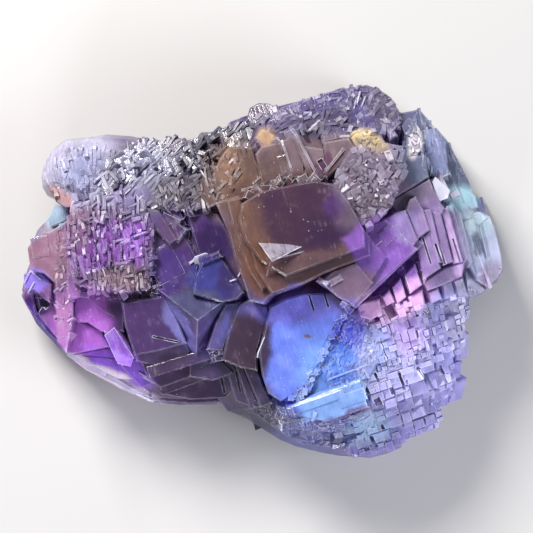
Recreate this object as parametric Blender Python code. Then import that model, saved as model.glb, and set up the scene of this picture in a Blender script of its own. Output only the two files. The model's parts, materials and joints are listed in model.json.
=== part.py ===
"""A fluorite cluster: cubes grown together in one piece, lying on its broken root.

The cluster is 80 mm long. Most of its cubes share one lattice, turned a little about the upright
axis; a few grew across it, and two twin corners stand out of larger faces. The lower right is a
dome covered with a mosaic of small stepped blocks. Everything is one crystal mass, so every shape
here is joined into one solid.

Metres, +Z up. The origin is on the flat broken root, under the middle of the cluster.
"""

import math
import random

import bmesh
import bpy
from mathutils import Matrix, Vector

MM = 0.001

LATTICE_TURN = 17.5  # degrees about +Z from +X to the row of most cube edges
EDGE_BEVEL = 0.25 * MM  # growth rounds the edge of every cube a little
ROOT_DEPTH = 4 * MM  # how far the masses run below the root before it is cut flat
CUT_WIDTH = 120 * MM
FLAT_ANGLE = 2.0  # degrees, faces this close to one plane are merged

VIOLET = (0.30, 0.19, 0.52, 1.0)

# The masses that carry the cubes. Each has an outline in millimetres, seen from above, and a
# profile of (height in millimetres, scale of the outline about its middle).
MASSES = {
    "left": (
        [
            (-34.4, 10.3), (-37.4, 7.1), (-38.4, 4.8), (-38.5, 2.1), (-39.4, -0.4), (-40.0, -2.9),
            (-39.2, -5.5), (-37.6, -8.6), (-33.8, -12.7), (-28.9, -16.5), (-23.6, -19.4),
            (-18.7, -21.6), (-13.8, -22.1), (-8.0, -22.1), (-3.0, -20.0), (0.0, -8.0),
            (-2.0, 8.0), (-6.0, 20.0), (-11.0, 22.1), (-14.8, 22.2), (-18.4, 21.6), (-24.0, 18.0),
            (-30.0, 13.0),
        ],
        [(0, 0.66), (3, 0.86), (6, 1.0), (9.5, 0.88), (16, 0.66), (22, 0.36)],
    ),
    "dome": (
        [
            (-5.7, -23.0), (-3.1, -23.9), (-1.0, -25.2), (3.0, -27.8), (5.7, -28.9), (9.8, -29.9),
            (12.5, -30.4), (18.0, -30.8), (20.7, -30.1), (23.1, -29.1), (23.5, -27.1),
            (28.2, -25.2), (29.8, -22.9), (29.7, -20.7), (31.2, -19.3), (32.0, -16.8),
            (32.6, -12.7), (33.3, -8.8), (34.3, -7.6), (34.4, -4.2), (33.0, 2.0), (24.0, 8.0),
            (8.0, 6.0), (-4.0, 0.0), (-8.0, -10.0), (-8.0, -20.0),
        ],
        [(0, 0.60), (4, 0.84), (8, 1.0), (12, 0.87), (17, 0.69), (23, 0.3)],
    ),
    "right": (
        [
            (22.0, 26.8), (23.3, 26.5), (25.7, 27.0), (28.0, 23.5), (29.0, 23.2), (31.0, 21.2),
            (32.5, 18.4), (35.1, 13.4), (35.8, 10.2), (37.7, 9.1), (39.0, 5.8), (40.0, 0.2),
            (38.9, -1.6), (37.1, -2.9), (34.4, -4.2), (28.0, -6.0), (18.0, 0.0), (14.0, 16.0),
            (18.0, 24.0),
        ],
        [(0, 0.62), (4, 0.84), (8, 1.0), (11, 0.90), (16, 0.68), (20, 0.42)],
    ),
    "ridge": (
        [
            (-7.1, 23.5), (-2.8, 24.8), (-2.3, 26.3), (-1.5, 27.3), (0.0, 27.8), (2.5, 27.1),
            (5.7, 28.3), (11.5, 30.1), (16.6, 30.9), (17.7, 30.8), (19.4, 29.8), (20.8, 28.9),
            (22.0, 26.8), (25.0, 22.0), (24.0, 12.0), (10.0, 4.0), (-6.0, 6.0), (-12.0, 16.0),
        ],
        [(0, 0.64), (4, 0.84), (8, 1.0), (13, 0.88), (20, 0.66), (25, 0.42)],
    ),
    "knob": (
        [
            (-32.5, 22.1), (-28.9, 22.4), (-25.6, 22.9), (-21.6, 22.6), (-18.4, 22.0),
            (-16.0, 16.0), (-22.0, 10.0), (-30.0, 9.8), (-33.6, 11.6), (-35.6, 12.7),
            (-36.4, 14.0), (-36.6, 15.7), (-36.1, 18.0), (-34.8, 20.3),
        ],
        [(2, 0.60), (3.5, 0.82), (6, 0.95), (8.5, 1.0), (11, 0.97), (13.5, 0.87), (15.5, 0.70),
         (16.8, 0.46)],
    ),
}

# Plates and blocks of the show side. The first four numbers are the height of the top face over
# its middle and its rise towards +X and +Y, then the depth, all in millimetres; the outline of
# the top face follows, seen from above. The walls run down square to the top face.
PLATES = {
    "amber_flank": (
        (31.2, 0.1, -0.02, 14),
        [
            (-7.4, 11.1), (-3.1, 12.5), (0, 12.5), (1, 1.7), (1.6, -3.4), (0.3, -5), (-2, -4.5),
            (-2.6, -2.5), (-4.3, 2.4), (-5.2, 6),
        ],
    ),
    "amber_ridge": (
        (32.5, 0.08, -0.03, 10),
        [
            (-5.6, 11.4), (-2.6, 12.2), (0, 5.3), (1.3, -1.9), (0, -2.9), (-2, 0.1), (-3.4, 3.7),
            (-4.6, 7.3),
        ],
    ),
    "amber_sill": (
        (33.6, -0.09, -0.08, 14),
        [
            (-3, 9.6), (0, 11.9), (11.6, 12.7), (17.1, 5.7), (17.1, 2.7), (9.8, -0.1), (6.7, -1.7),
            (1.6, -3.4), (-1, 0.7),
        ],
    ),
    "amber_cube": (
        (35.4, -0.09, -0.08, 12),
        [
            (-3.6, 8.3), (-3.1, 10.9), (0, 12.9), (8.2, 14.5), (11.6, 13.9), (13.8, 11.2),
            (16.2, 6.6), (16.2, 4), (9.8, 1.7), (3.8, -0.6), (0, 1.7), (-2.5, 5),
        ],
    ),
    "amber_knee": (
        (28.8, 0.06, -0.06, 12),
        [
            (-7.9, 15.5), (-6.6, 18.4), (-5.2, 20.1), (-1.6, 19.8), (-0.3, 16.5), (0.2, 12.9),
            (-3.1, 12.1), (-6.9, 10.7),
        ],
    ),
    "amber_column_1": (
        (31.0, 0.0, -0.1, 12),
        [
            (-1, 18.8), (0, 20.1), (3, 20.7), (4.4, 16.8), (4.4, 15.2), (0, 13.5),
        ],
    ),
    "amber_column_2": (
        (31.8, -0.02, -0.08, 12),
        [
            (3.1, 20.7), (4.8, 21.7), (6.7, 17.1), (6.9, 15.2), (4.6, 14.8),
        ],
    ),
    "white_blade": (
        (32.8, -0.02, -0.1, 12),
        [
            (4.6, 22.7), (5.6, 22.7), (7.2, 17.8), (9.2, 14), (7.9, 14), (6.4, 17.5),
        ],
    ),
    "violet_eye": (
        (31.4, -0.04, -0.1, 12),
        [
            (6.6, 20.1), (9.8, 19.6), (10.2, 17.1), (9.2, 14.7), (7.7, 15.2),
        ],
    ),
    "back_block": (
        (31.0, -0.02, -0.14, 12),
        [
            (9.8, 20.7), (13.8, 21.4), (14.8, 19.8), (12.1, 16.5), (10, 14.5), (9.5, 17.5),
        ],
    ),
    "gold_nib": (
        (29.2, 0.0, -0.22, 12),
        [
            (-1, 21.4), (0.2, 22.9), (2.5, 21.6), (3.3, 20.3), (0, 19.6),
        ],
    ),
    "ridge_knob": (
        (20.4, 0.05, -0.42, 12),
        [
            (-2.5, 24.8), (-2, 26.8), (-0.5, 27.6), (1.1, 27.5), (2.5, 26.8), (3.1, 24.7),
            (0.3, 23), (-1.3, 23.2),
        ],
    ),
    "back_slab_1": (
        (23.8, 0.04, -0.5, 14),
        [
            (0, 23.4), (3.1, 26.7), (6.2, 27.8), (11.5, 29.4), (11.5, 25.3), (9.3, 22.9),
            (6.2, 24), (3.1, 22.1),
        ],
    ),
    "back_slab_2": (
        (24.4, -0.06, -0.46, 14),
        [
            (11.2, 29.3), (16.9, 30.4), (19, 29.6), (20.8, 28.3), (22.1, 26), (22.3, 23),
            (17.1, 22.7), (12.8, 21.4), (9.7, 20.7), (9.2, 23),
        ],
    ),
    "rough_block": (
        (32.6, -0.08, -0.06, 14),
        [
            (12.1, 16.5), (14.4, 20.1), (18, 18.3), (22.3, 19.8), (23.1, 15.5), (21.5, 13.5),
            (19.7, 9.3), (16.4, 6.8), (13.8, 10.9), (11.3, 13.5),
        ],
    ),
    "gold_block": (
        (30.4, -0.03, -0.24, 14),
        [
            (14.1, 21.4), (15.7, 23), (18.2, 23.4), (19.5, 20.7), (22.3, 20.1), (18, 18),
            (14.8, 19.8),
        ],
    ),
    "white_column": (
        (27.0, -0.1, -0.14, 14),
        [
            (23, 18.1), (23.1, 22.4), (24.1, 23.9), (25.6, 22.6), (25.9, 19.8), (24.6, 18.1),
        ],
    ),
    "rough_foot": (
        (28.6, -0.1, -0.02, 14),
        [
            (21.3, 13.5), (23, 18.4), (26.1, 18.8), (26.6, 15.2), (23.3, 13.2), (20.7, 11.6),
        ],
    ),
    "pale_shoulder": (
        (21.0, -0.25, -0.3, 14),
        [
            (22.1, 25.8), (25.6, 26.5), (27.4, 24.4), (28, 22.9), (26.9, 18.4), (24.9, 17.5),
            (23.1, 21.7),
        ],
    ),
    "navy_face": (
        (22.0, -0.3, -0.06, 12),
        [
            (26.2, 23), (28.2, 23.4), (29.7, 21.7), (30.2, 14.8), (27.6, 14.5), (26.2, 17.8),
        ],
    ),
    "pale_blade": (
        (18.0, -0.52, -0.14, 12),
        [
            (28.5, 22.7), (30.5, 21.2), (32, 18.4), (33.9, 14.8), (35.1, 11.1), (31.8, 11.2),
            (29.5, 14.8),
        ],
    ),
    "aqua_block": (
        (18.8, -0.32, -0.06, 12),
        [
            (30.2, 13.2), (32.1, 14.2), (34.8, 12.5), (35.3, 10.6), (32.1, 9.3), (30.8, 10.7),
        ],
    ),
    "white_chip": (
        (26.4, -0.14, 0.02, 14),
        [
            (26.6, 14.8), (28.9, 15.3), (30.2, 12.9), (28.5, 11.2), (27.6, 12.1),
        ],
    ),
    "shadow_ledge": (
        (27.9, -0.1, 0.04, 14),
        [
            (20.2, 11.2), (23.3, 13.2), (26.7, 15), (28.2, 11.6), (29.2, 10.2), (28.5, 8.9),
            (24.6, 8.6), (21.6, 9.3),
        ],
    ),
    "brown_ledge": (
        (29.8, -0.04, 0.02, 14),
        [
            (22.8, 9.9), (23.5, 11.6), (24.4, 12.1), (25.6, 10.1), (26.7, 6.8), (24.6, 5.2),
        ],
    ),
    "lilac_patch": (
        (30.9, -0.08, 0.04, 14),
        [
            (19.2, 8.4), (21.2, 9.6), (22.8, 9.9), (24.8, 5.2), (23.9, 4),
        ],
    ),
    "violet_cube": (
        (30.6, -0.04, 0.05, 14),
        [
            (14.6, 1.7), (16.4, 7.1), (19.4, 8.6), (24.8, 3.7), (14.8, -5), (12.8, -2.9),
        ],
    ),
    "violet_flange": ((29.5, -0.04, 0.05, 14), [(19.4, 7.3), (25.9, 4.7), (14.8, -5.8), (12.1, -3.2)]),
    "violet_step": (
        (31.5, -0.03, 0.04, 10),
        [
            (13.8, 3.7), (16.9, 5.7), (19.8, 2.5), (17.5, -1.2), (14.8, -4.2), (12.1, -2.9),
        ],
    ),
    "lilac_plate": (
        (32.2, -0.02, 0.06, 12),
        [
            (9.2, -1.6), (11.2, 0.4), (14.8, 1.7), (17.7, -1.6), (14.6, -5.2), (12.1, -4),
        ],
    ),
    "strip_1": ((28.7, -0.04, 0.03, 14), [(24.6, 5), (26.6, 6.6), (28.5, 0.7), (25.7, -1.2)]),
    "strip_2": ((28.9, -0.06, 0.02, 14), [(25.6, 9.9), (26.9, 10.2), (28.9, 1.7), (27.9, 1.4)]),
    "strip_3": ((27.9, -0.1, 0.02, 14), [(26.9, 9.9), (28.5, 9.6), (30.5, 1.7), (28.9, 1.1)]),
    "strip_4": ((26.6, -0.14, 0.02, 14), [(28.5, 9.6), (29.7, 10.6), (32.3, 1.7), (30.7, 1.4)]),
    "strip_5": ((24.9, -0.2, 0.02, 14), [(29.5, 10.6), (30.5, 11.4), (33.3, 2.1), (32.3, 1.4)]),
    "strip_6": ((22.6, -0.28, 0.02, 14), [(30.5, 11.4), (32.1, 9.6), (34.1, 1.7), (33.3, 0.7)]),
    "strip_foot": (
        (26.0, -0.12, 0.05, 14),
        [
            (25.7, -1.6), (29.2, 0.7), (32.6, 1.9), (32.1, -0.6), (29.8, -1.7), (26.4, -3),
        ],
    ),
    "pink_block_1": ((28.3, -0.06, 0.06, 12), [(22.5, -0.7), (24.4, 1.4), (25.6, -1.9), (23.6, -3.4)]),
    "pink_block_2": ((28.2, -0.04, 0.06, 12), [(20.8, -2.4), (22.1, -0.9), (23, -3.9), (21.6, -5)]),
    "pink_block_3": ((27.9, -0.04, 0.06, 12), [(19.2, -3.9), (20.3, -2.7), (21.2, -4.7), (20, -5.5)]),
    "pink_block_4": ((27.7, -0.08, 0.06, 12), [(24.6, 1.7), (25.6, 2.5), (26.7, 0.1), (25.9, -1.9)]),
    "pink_block_5": (
        (28.0, 0.0, 0.05, 12),
        [
            (15.1, -5), (18.7, -4.2), (19.2, -6.5), (17.4, -7.6), (15.6, -7),
        ],
    ),
    "pink_block_6": ((27.4, -0.05, 0.08, 12), [(21.2, -5.5), (23, -4.5), (23.6, -6), (21.6, -7.1)]),
    "pink_block_7": ((27.2, -0.08, 0.08, 12), [(23.3, -4), (25.6, -2.7), (26.1, -5.2), (23.9, -6.2)]),
    "pink_block_8": ((25.4, -0.14, 0.08, 12), [(26.6, -3.2), (28.2, -2.4), (28.9, -4.2), (27.2, -5)]),
    "pink_block_9": ((24.0, -0.22, 0.06, 12), [(28.7, -1.9), (30.5, -1.4), (31.2, -3.9), (29.4, -4.3)]),
    "pink_block_10": (
        (21.4, -0.34, 0.06, 12),
        [
            (30.8, -1.4), (32.5, -0.6), (33.5, -3.9), (31.8, -4.5),
        ],
    ),
    "pale_corner": (
        (18.0, -0.3, 0.1, 12),
        [
            (32.8, 1.4), (34.4, 0.4), (36.7, -3), (34.1, -4.3), (33.3, -3.9),
        ],
    ),
    "pale_prism_1": (
        (20.0, -0.22, 0.03, 12),
        [
            (32.5, 8.3), (34.3, 8.8), (36.4, 1.7), (37.1, -2.7), (34.8, -1.2), (33.1, 1.7),
        ],
    ),
    "pale_prism_2": (
        (15.6, -0.5, 0.04, 10),
        [
            (34.1, 8.8), (35.8, 9.8), (37.4, 9.1), (38.5, 6), (39.4, 2.4), (39.5, 0.4),
            (38.7, -1.1), (37.1, -2.5), (36.4, 1.7),
        ],
    ),
    "pale_cap": (
        (18.6, -0.34, -0.04, 10),
        [
            (32, 9.3), (35.6, 9.9), (37.1, 8.9), (35.3, 7.6), (32.6, 8.1),
        ],
    ),
    "blue_face": (
        (27.6, -0.03, 0.12, 14),
        [
            (1.3, -5.5), (3.8, -4.2), (6.7, -3.4), (11.2, -3.2), (13.6, -5), (11.5, -8.6),
            (9.5, -12.4), (8.2, -16), (6.2, -18.9), (3, -20.6), (1, -19.3), (0, -16.3),
            (-0.5, -12.7), (0.3, -9.4),
        ],
    ),
    "blue_slope": (
        (26.4, 0.06, 0.08, 14),
        [
            (13.6, -5), (18, -7.5), (19.5, -9.8), (19.5, -12.7), (17.1, -17), (12, -18.8),
            (6.9, -20.3), (8.2, -16), (9.5, -12.4), (11.5, -8.6),
        ],
    ),
    "foot_slab": (
        (26.9, -0.04, 0.24, 10),
        [
            (3.9, -21.7), (6.2, -20.6), (15.7, -17.1), (17.2, -21.6), (13.1, -22.9), (10.3, -23.9),
            (6.2, -23),
        ],
    ),
    "foot_step": (
        (23.2, 0.02, 0.5, 10),
        [
            (2.3, -21.6), (6.2, -20.9), (16.4, -19.6), (18, -22.7), (11.8, -25.8), (6.6, -25.7),
            (1.6, -23.5),
        ],
    ),
    "grey_apron": (
        (16.6, 0.05, 0.45, 10),
        [
            (-1, -20.9), (6.2, -22.6), (11.2, -24.8), (11.5, -28.8), (6.2, -28.1), (2.3, -25.8),
            (-1.3, -23),
        ],
    ),
    "brown_cube": (
        (25.8, -0.02, 0.04, 12),
        [
            (-3.6, -5), (-2, -4.3), (1, -5.5), (1.3, -7.5), (0, -10.2), (-0.7, -12.7),
            (-0.7, -15.8), (-3.3, -15.3), (-6.4, -14), (-5.4, -9.4),
        ],
    ),
    "blue_cube": (
        (27.2, 0.02, -0.04, 12),
        [
            (-9.8, 1.4), (-6.6, 2.9), (-4.6, -0.2), (-2.8, -3.2), (-3.9, -4.3), (-6.2, -4.8),
            (-11, -3.5), (-10.7, -0.7),
        ],
    ),
    "chipped_edge": ((27.8, 0.04, 0.1, 12), [(-10.3, 2.2), (-6.9, 3.4), (-6.2, 2.5), (-9.5, 1.1)]),
    "blue_window": (
        (25.2, 0.0, 0.1, 12),
        [
            (-5.9, -5), (-3.4, -4.7), (-4.9, -8.6), (-6.2, -12.7), (-8.9, -12.4), (-7.5, -8.1),
        ],
    ),
    "deep_wall": (
        (24.6, 0.02, 0.0, 12),
        [
            (-12.1, 9.4), (-10.2, 10.4), (-7.2, 9.6), (-5.1, 6), (-4.1, 2.4), (-2.5, -3),
            (-3.9, -3), (-6.6, 2.7), (-9.8, 1.7),
        ],
    ),
    "violet_wall": (
        (24.9, -0.02, -0.02, 12),
        [
            (-17.4, 8.8), (-14.8, 8.3), (-12.1, 5.7), (-10, 1.7), (-10.8, -3.2), (-15.7, -2.9),
            (-17.7, -0.2),
        ],
    ),
    "bright_sill": (
        (26.2, 0.0, 0.02, 12),
        [
            (-19.2, 10.6), (-16.4, 9.9), (-13.4, 5.3), (-14.8, 4.3), (-17.7, 7.6),
        ],
    ),
    "hump": (
        (26.6, 0.03, 0.02, 14),
        [
            (-30.5, 10.7), (-24.9, 12.4), (-19, 10.9), (-17.4, 7.6), (-17.4, 0.4), (-18.7, -2.5),
            (-26.6, -3.2), (-30.2, -1.6), (-31.5, 4.5),
        ],
    ),
    "hump_shoulder": (
        (24.6, 0.16, 0.0, 12),
        [
            (-31.5, 5.3), (-28.9, 8.3), (-28.2, 1.7), (-29.2, -3.9), (-31.2, -4.5),
        ],
    ),
    "pink_rib": (
        (23.0, 0.12, -0.02, 12),
        [
            (-33.6, 7), (-31.5, 8.3), (-30.5, 2.1), (-30.5, -7.8), (-31.5, -13), (-33, -11.1),
            (-33.1, -4.5),
        ],
    ),
    "pink_face": (
        (19.0, 0.34, 0.0, 12),
        [
            (-38.2, 4), (-36.7, 6), (-33.5, 7.1), (-33.1, -2.2), (-35.4, -0.2), (-37.7, 0.4),
        ],
    ),
    "blue_lip": (
        (16.6, 0.3, 0.0, 10),
        [
            (-39, -0.2), (-36.4, 0.2), (-34.4, -1.9), (-34.6, -5), (-35.8, -4.2), (-37.1, -2.9),
            (-38.9, -2.7),
        ],
    ),
    "violet_shell": (
        (9.6, 0.2, 0.2, 6),
        [
            (-39.9, -3.9), (-39, -2.2), (-37.9, -3.5), (-37.4, -6.5), (-34.1, -9.8),
            (-33.5, -11.9), (-35.8, -9.8), (-38.7, -6.2),
        ],
    ),
    "magenta_floor": (
        (14.0, 0.3, 0.1, 8),
        [
            (-37.4, -4.2), (-34.8, -4.8), (-32.8, -6.5), (-32.5, -11.9), (-34.1, -10.4),
            (-36.7, -7.1),
        ],
    ),
    "brown_shelf": (
        (21.8, 0.08, 0.06, 12),
        [
            (-30.2, -2.9), (-25.9, -3), (-22, -3.9), (-22.3, -9.6), (-25.9, -9.6), (-28.2, -8.1),
            (-30.5, -8.1),
        ],
    ),
    "glow_cube": (
        (19.8, 0.08, 0.18, 12),
        [
            (-31.2, -7.1), (-29.2, -8.1), (-25.9, -9.4), (-24.6, -12.1), (-26.6, -12.5),
            (-31.2, -13.4),
        ],
    ),
    "violet_brick": (
        (21.6, 0.05, 0.16, 12),
        [
            (-25.6, -9.4), (-23, -9.3), (-21.6, -11.4), (-20.5, -13.9), (-22.6, -15.2),
            (-24.4, -12.2),
        ],
    ),
    "glow_plate": (
        (15.4, 0.06, 0.3, 12),
        [
            (-31.2, -13.4), (-26.6, -12.5), (-24.4, -12.2), (-22.5, -15.3), (-20, -17.6),
            (-23.6, -17.5), (-29.2, -14.5),
        ],
    ),
    "glow_step": (
        (17.4, 0.05, 0.28, 12),
        [
            (-23, -15.3), (-20.5, -13.9), (-16.7, -15), (-17.4, -18), (-19.7, -18.9),
        ],
    ),
    "mauve_cube": (
        (24.3, 0.02, 0.1, 12),
        [
            (-22.6, -4.8), (-15.7, -3.7), (-13.8, -7), (-12.1, -11.4), (-16.7, -12.7),
            (-20.5, -13.4), (-22, -8.6),
        ],
    ),
    "mauve_sill": (
        (21.9, 0.02, 0.14, 12),
        [
            (-21.6, -9.4), (-12.1, -10.7), (-11.6, -12.7), (-13, -15.7), (-16.7, -15.2),
            (-20.3, -14.4),
        ],
    ),
    "mauve_step": (
        (19.4, 0.0, 0.22, 12),
        [
            (-20.3, -13), (-11.8, -13), (-10.8, -14.7), (-11.8, -17.1), (-16.4, -18.8),
            (-18.7, -17.1),
        ],
    ),
    "dark_shelf": (
        (15.6, 0.04, 0.3, 10),
        [
            (-17.4, -15.7), (-10.8, -14.7), (-4.9, -15.3), (-3.6, -18.3), (-5.9, -20.6),
            (-11.8, -20.9), (-16.7, -19.9),
        ],
    ),
    "dark_step": (
        (20.4, 0.0, 0.2, 12),
        [
            (-11.8, -14), (-6.6, -14), (-4.3, -16.3), (-7.9, -17.6), (-11.8, -17),
        ],
    ),
    "grey_slat_1": (
        (19.6, 0.0, 0.25, 12),
        [
            (-6.2, -14.2), (-4.6, -14.7), (-2.6, -19.6), (-2, -21.9), (-4.3, -20.9), (-5.4, -17.3),
        ],
    ),
    "grey_slat_2": (
        (20.6, 0.0, 0.25, 12),
        [
            (-4.4, -14.8), (-3, -15.3), (-1, -20.1), (0, -21.9), (-2, -22.2), (-3, -18.9),
        ],
    ),
    "grey_slat_3": (
        (21.6, 0.02, 0.25, 12),
        [
            (-3, -15.3), (-0.7, -15.8), (0.3, -18.4), (1.6, -21.2), (-0.3, -21.9), (-1.6, -18.9),
        ],
    ),
    "bright_rim": (
        (9.0, -0.02, 0.12, 5),
        [
            (-32.1, -13.9), (-30.5, -13.4), (-24.6, -16.8), (-19, -19.6), (-18.4, -20.9),
            (-25.3, -18.1), (-29.2, -16.2),
        ],
    ),
    "dark_rim": (
        (7.4, 0.02, 0.15, 5),
        [
            (-19.4, -19.6), (-15.7, -20.3), (-11.8, -20.7), (-7.2, -21.1), (-6.2, -21.7),
            (-11.8, -21.9), (-18, -21.4),
        ],
    ),
    "ice_wedge": (
        (12.0, 0.2, -0.06, 8),
        [
            (-35.3, 8.9), (-34.1, 11.2), (-32.1, 10.7), (-31.5, 9.4), (-32.6, 8.3), (-34.8, 7.3),
        ],
    ),
    "orange_block": (
        (15.6, 0.12, 0.1, 10),
        [
            (-33.9, 13.5), (-31.5, 14.4), (-29.8, 12.5), (-30.7, 10.7), (-32.1, 10.4),
            (-33.8, 11.6),
        ],
    ),
    "etched_1": (
        (20.4, 0.08, -0.46, 12),
        [
            (-26.1, 14.7), (-25.3, 17.5), (-22.6, 19.9), (-20, 21.4), (-17.4, 21.6), (-18, 15.8),
            (-22.3, 13.2),
        ],
    ),
    "etched_2": (
        (20.8, 0.06, -0.44, 12),
        [
            (-17.7, 21.4), (-11.2, 21.7), (-10, 19.8), (-12.1, 14.8), (-18.4, 15.7),
        ],
    ),
    "etched_3": (
        (22.0, 0.08, -0.42, 12),
        [
            (-11.2, 21.7), (-7.2, 23.2), (-2.6, 24.7), (-0.8, 22.4), (-0.8, 19.8), (-5.2, 19.9),
            (-8.2, 16.3), (-11.5, 15.8),
        ],
    ),
    "etched_4": (
        (25.0, 0.02, -0.14, 12),
        [
            (-25.3, 12.4), (-22.3, 13.5), (-18.4, 15.8), (-12.1, 15.2), (-11.8, 9.9), (-15.9, 9.8),
            (-19, 10.7),
        ],
    ),
    "etched_5": (
        (25.6, 0.06, -0.12, 12),
        [
            (-12.5, 15.2), (-8, 16.5), (-7.2, 10.9), (-10.2, 10.2), (-12.1, 9.8),
        ],
    ),
}

# Twin corners: the apex (x, y, z), the bearings of its three edges as seen from above, and
# the edge lengths. Three square edges have one attitude for given bearings.
TWINS = {
    "twin_corner": ((-10.2, -7.6, 28.9), (142.6, 36.9, 265.8), (9.2, 7.0, 10.4)),
    "amber_twin": ((1.4, 2.0, 37.9), (118.0, 14.0, 255.0), (5.0, 8.0, 5.0)),
}

TWIN_BEVEL = 0.1 * MM

# Cubes of the sides, where the cluster overhangs its root: how many rows each mass has, the
# heights of their top faces, their sides, and how far in from the outline their middles are.
SIDE_ROWS = {"left": 1, "dome": 1, "right": 1, "ridge": 2}
SIDE_TOPS = [(6.0, 9.0), (11.5, 15.0)]
SIDE_CUBE = (6.0, 9.0)
SIDE_INSET = (0.90, 1.02)
SIDE_SPACING = 7.0
SIDE_SEED = 3

# Etched patches: the middle and radii of the patch, the height and rise of its surface, how
# many rods lie on it, their length, their turn from +X and the seed.
SHARDS = {
    "hump_rod": ((-24.5, 4.6), (6.4, 6.4), (27.0, 0.03, 0.0), 16, 4.2, 4.0, 5),
    "dark_rod": ((-20.0, 16.0), (8.0, 3.2), (22.6, 0.10, -0.42), 12, 4.0, 24.0, 7),
    "grey_rod": ((-8.0, 18.6), (5.0, 3.0), (24.0, 0.06, -0.42), 8, 3.8, 58.0, 9),
    "back_rod": ((12.5, 24.6), (9.0, 3.0), (24.4, -0.02, -0.48), 8, 3.6, 14.0, 4),
}

# The mosaic of the dome: rows of blocks along the lattice, each a little above or below the
# dome and less steep than it. Millimetres.
DOME_MIDDLE = (13.0, -8.5)
DOME_RADII = (22.0, 24.5)
DOME_TOP, DOME_FOOT = 27.6, 10.5
DOME_POWER = 2.6
MOSAIC_ROWS = [3.2, 4.0, 2.8, 4.2, 3.4, 3.0, 4.0, 3.2, 3.6]
MOSAIC_COLUMNS = [3.4, 2.6, 4.0, 3.0, 3.6, 2.8, 4.0, 2.6, 3.2, 3.8, 3.0]
MOSAIC_SEED = 11
MOSAIC_STEP = 0.6
MOSAIC_LEAN_KEPT = 0.65
MOSAIC_DEPTH = 12.0


def clear_scene():
    for obj in list(bpy.data.objects):
        bpy.data.objects.remove(obj, do_unlink=True)


def fluorite():
    """Clear violet fluorite, the ground colour of the cluster."""
    material = bpy.data.materials.new("violet_fluorite")
    material.use_nodes = True
    shader = material.node_tree.nodes["Principled BSDF"]
    shader.inputs["Base Color"].default_value = VIOLET
    shader.inputs["Roughness"].default_value = 0.12
    shader.inputs["Metallic"].default_value = 0.0
    shader.inputs["IOR"].default_value = 1.434
    shader.inputs["Transmission Weight"].default_value = 0.9
    return material


def object_from(name, mesh):
    """Puts a bmesh in the scene as a named object."""
    data = bpy.data.meshes.new(name)
    bmesh.ops.recalc_face_normals(mesh, faces=mesh.faces)
    mesh.to_mesh(data)
    mesh.free()
    obj = bpy.data.objects.new(name, data)
    bpy.context.scene.collection.objects.link(obj)
    return obj


def loft(mesh, rings):
    """Bridges rings of points into a closed body."""
    rows = [[mesh.verts.new(point) for point in ring] for ring in rings]
    for below, above in zip(rows, rows[1:]):
        for i in range(len(below)):
            j = (i + 1) % len(below)
            mesh.faces.new((below[i], below[j], above[j], above[i]))
    mesh.faces.new(list(reversed(rows[0])))
    mesh.faces.new(rows[-1])


def mass(name, outline, profile):
    """A rounded mass: one ring of the outline for each height of the profile."""
    middle = sum((Vector(point) for point in outline), Vector((0, 0))) / len(outline)
    low_z, low_scale = profile[0]
    levels = [(low_z - ROOT_DEPTH / MM, low_scale * 0.9), *profile]
    rings = []
    for z, scale in levels:
        points = [middle + (Vector(point) - middle) * scale for point in outline]
        rings.append([Vector((point.x, point.y, z)) * MM for point in points])
    mesh = bmesh.new()
    loft(mesh, rings)
    return object_from(name, mesh)


def bevel_top(mesh, width):
    """Bevels the edges of the last face made, which is the top face."""
    bmesh.ops.recalc_face_normals(mesh, faces=mesh.faces)
    mesh.faces.ensure_lookup_table()
    rim = list(mesh.faces[-1].edges)
    bmesh.ops.bevel(
        mesh, geom=rim, offset=width, offset_type="OFFSET", segments=1, affect="EDGES"
    )


def plate(name, top, outline):
    """A plate with bevelled edges. Its walls run down square to its leaning top face."""
    height, rise_x, rise_y, depth = top
    middle = sum((Vector(point) for point in outline), Vector((0, 0))) / len(outline)
    ring = []
    for x, y in outline:
        z = height + rise_x * (x - middle.x) + rise_y * (y - middle.y)
        ring.append(Vector((x, y, z)) * MM)
    down = Vector((rise_x, rise_y, -1)).normalized() * depth * MM
    mesh = bmesh.new()
    loft(mesh, [[point + down for point in ring], ring])
    bevel_top(mesh, EDGE_BEVEL)
    return object_from(name, mesh)


def attitude(lean, turn):
    """The turn of a cube after it leans towards its own u and v."""
    lean_u, lean_v = (math.radians(angle) for angle in lean)
    spin = Matrix.Rotation(math.radians(turn), 4, "Z")
    return spin @ Matrix.Rotation(-lean_u, 4, "Y") @ Matrix.Rotation(lean_v, 4, "X")


def block(name, top, size, turned, bevel=EDGE_BEVEL):
    """A cube, bevelled round its top. top is the middle of its top face, in millimetres."""
    half_width, half_length = size[0] * MM / 2, size[1] * MM / 2
    corners = [(1, 1), (-1, 1), (-1, -1), (1, -1)]
    ring = [Vector((u * half_width, v * half_length, 0)) for u, v in corners]
    mesh = bmesh.new()
    loft(mesh, [[point - Vector((0, 0, size[2] * MM)) for point in ring], ring])
    if bevel:
        bevel_top(mesh, bevel)
    bmesh.ops.transform(mesh, verts=mesh.verts, matrix=turned)
    bmesh.ops.translate(mesh, verts=mesh.verts, vec=Vector(top) * MM)
    return object_from(name, mesh)


def corner_axes(bearings):
    """The directions of three square edges that run down from an apex along these bearings."""
    flat = [Vector((math.cos(math.radians(b)), math.sin(math.radians(b)))) for b in bearings]
    pair = [-flat[i].dot(flat[j]) for i, j in ((1, 2), (0, 2), (0, 1))]
    fall = [math.sqrt(pair[(i + 1) % 3] * pair[(i + 2) % 3] / pair[i]) for i in range(3)]
    return [Vector((f.x, f.y, -drop)).normalized() for f, drop in zip(flat, fall)]


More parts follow.
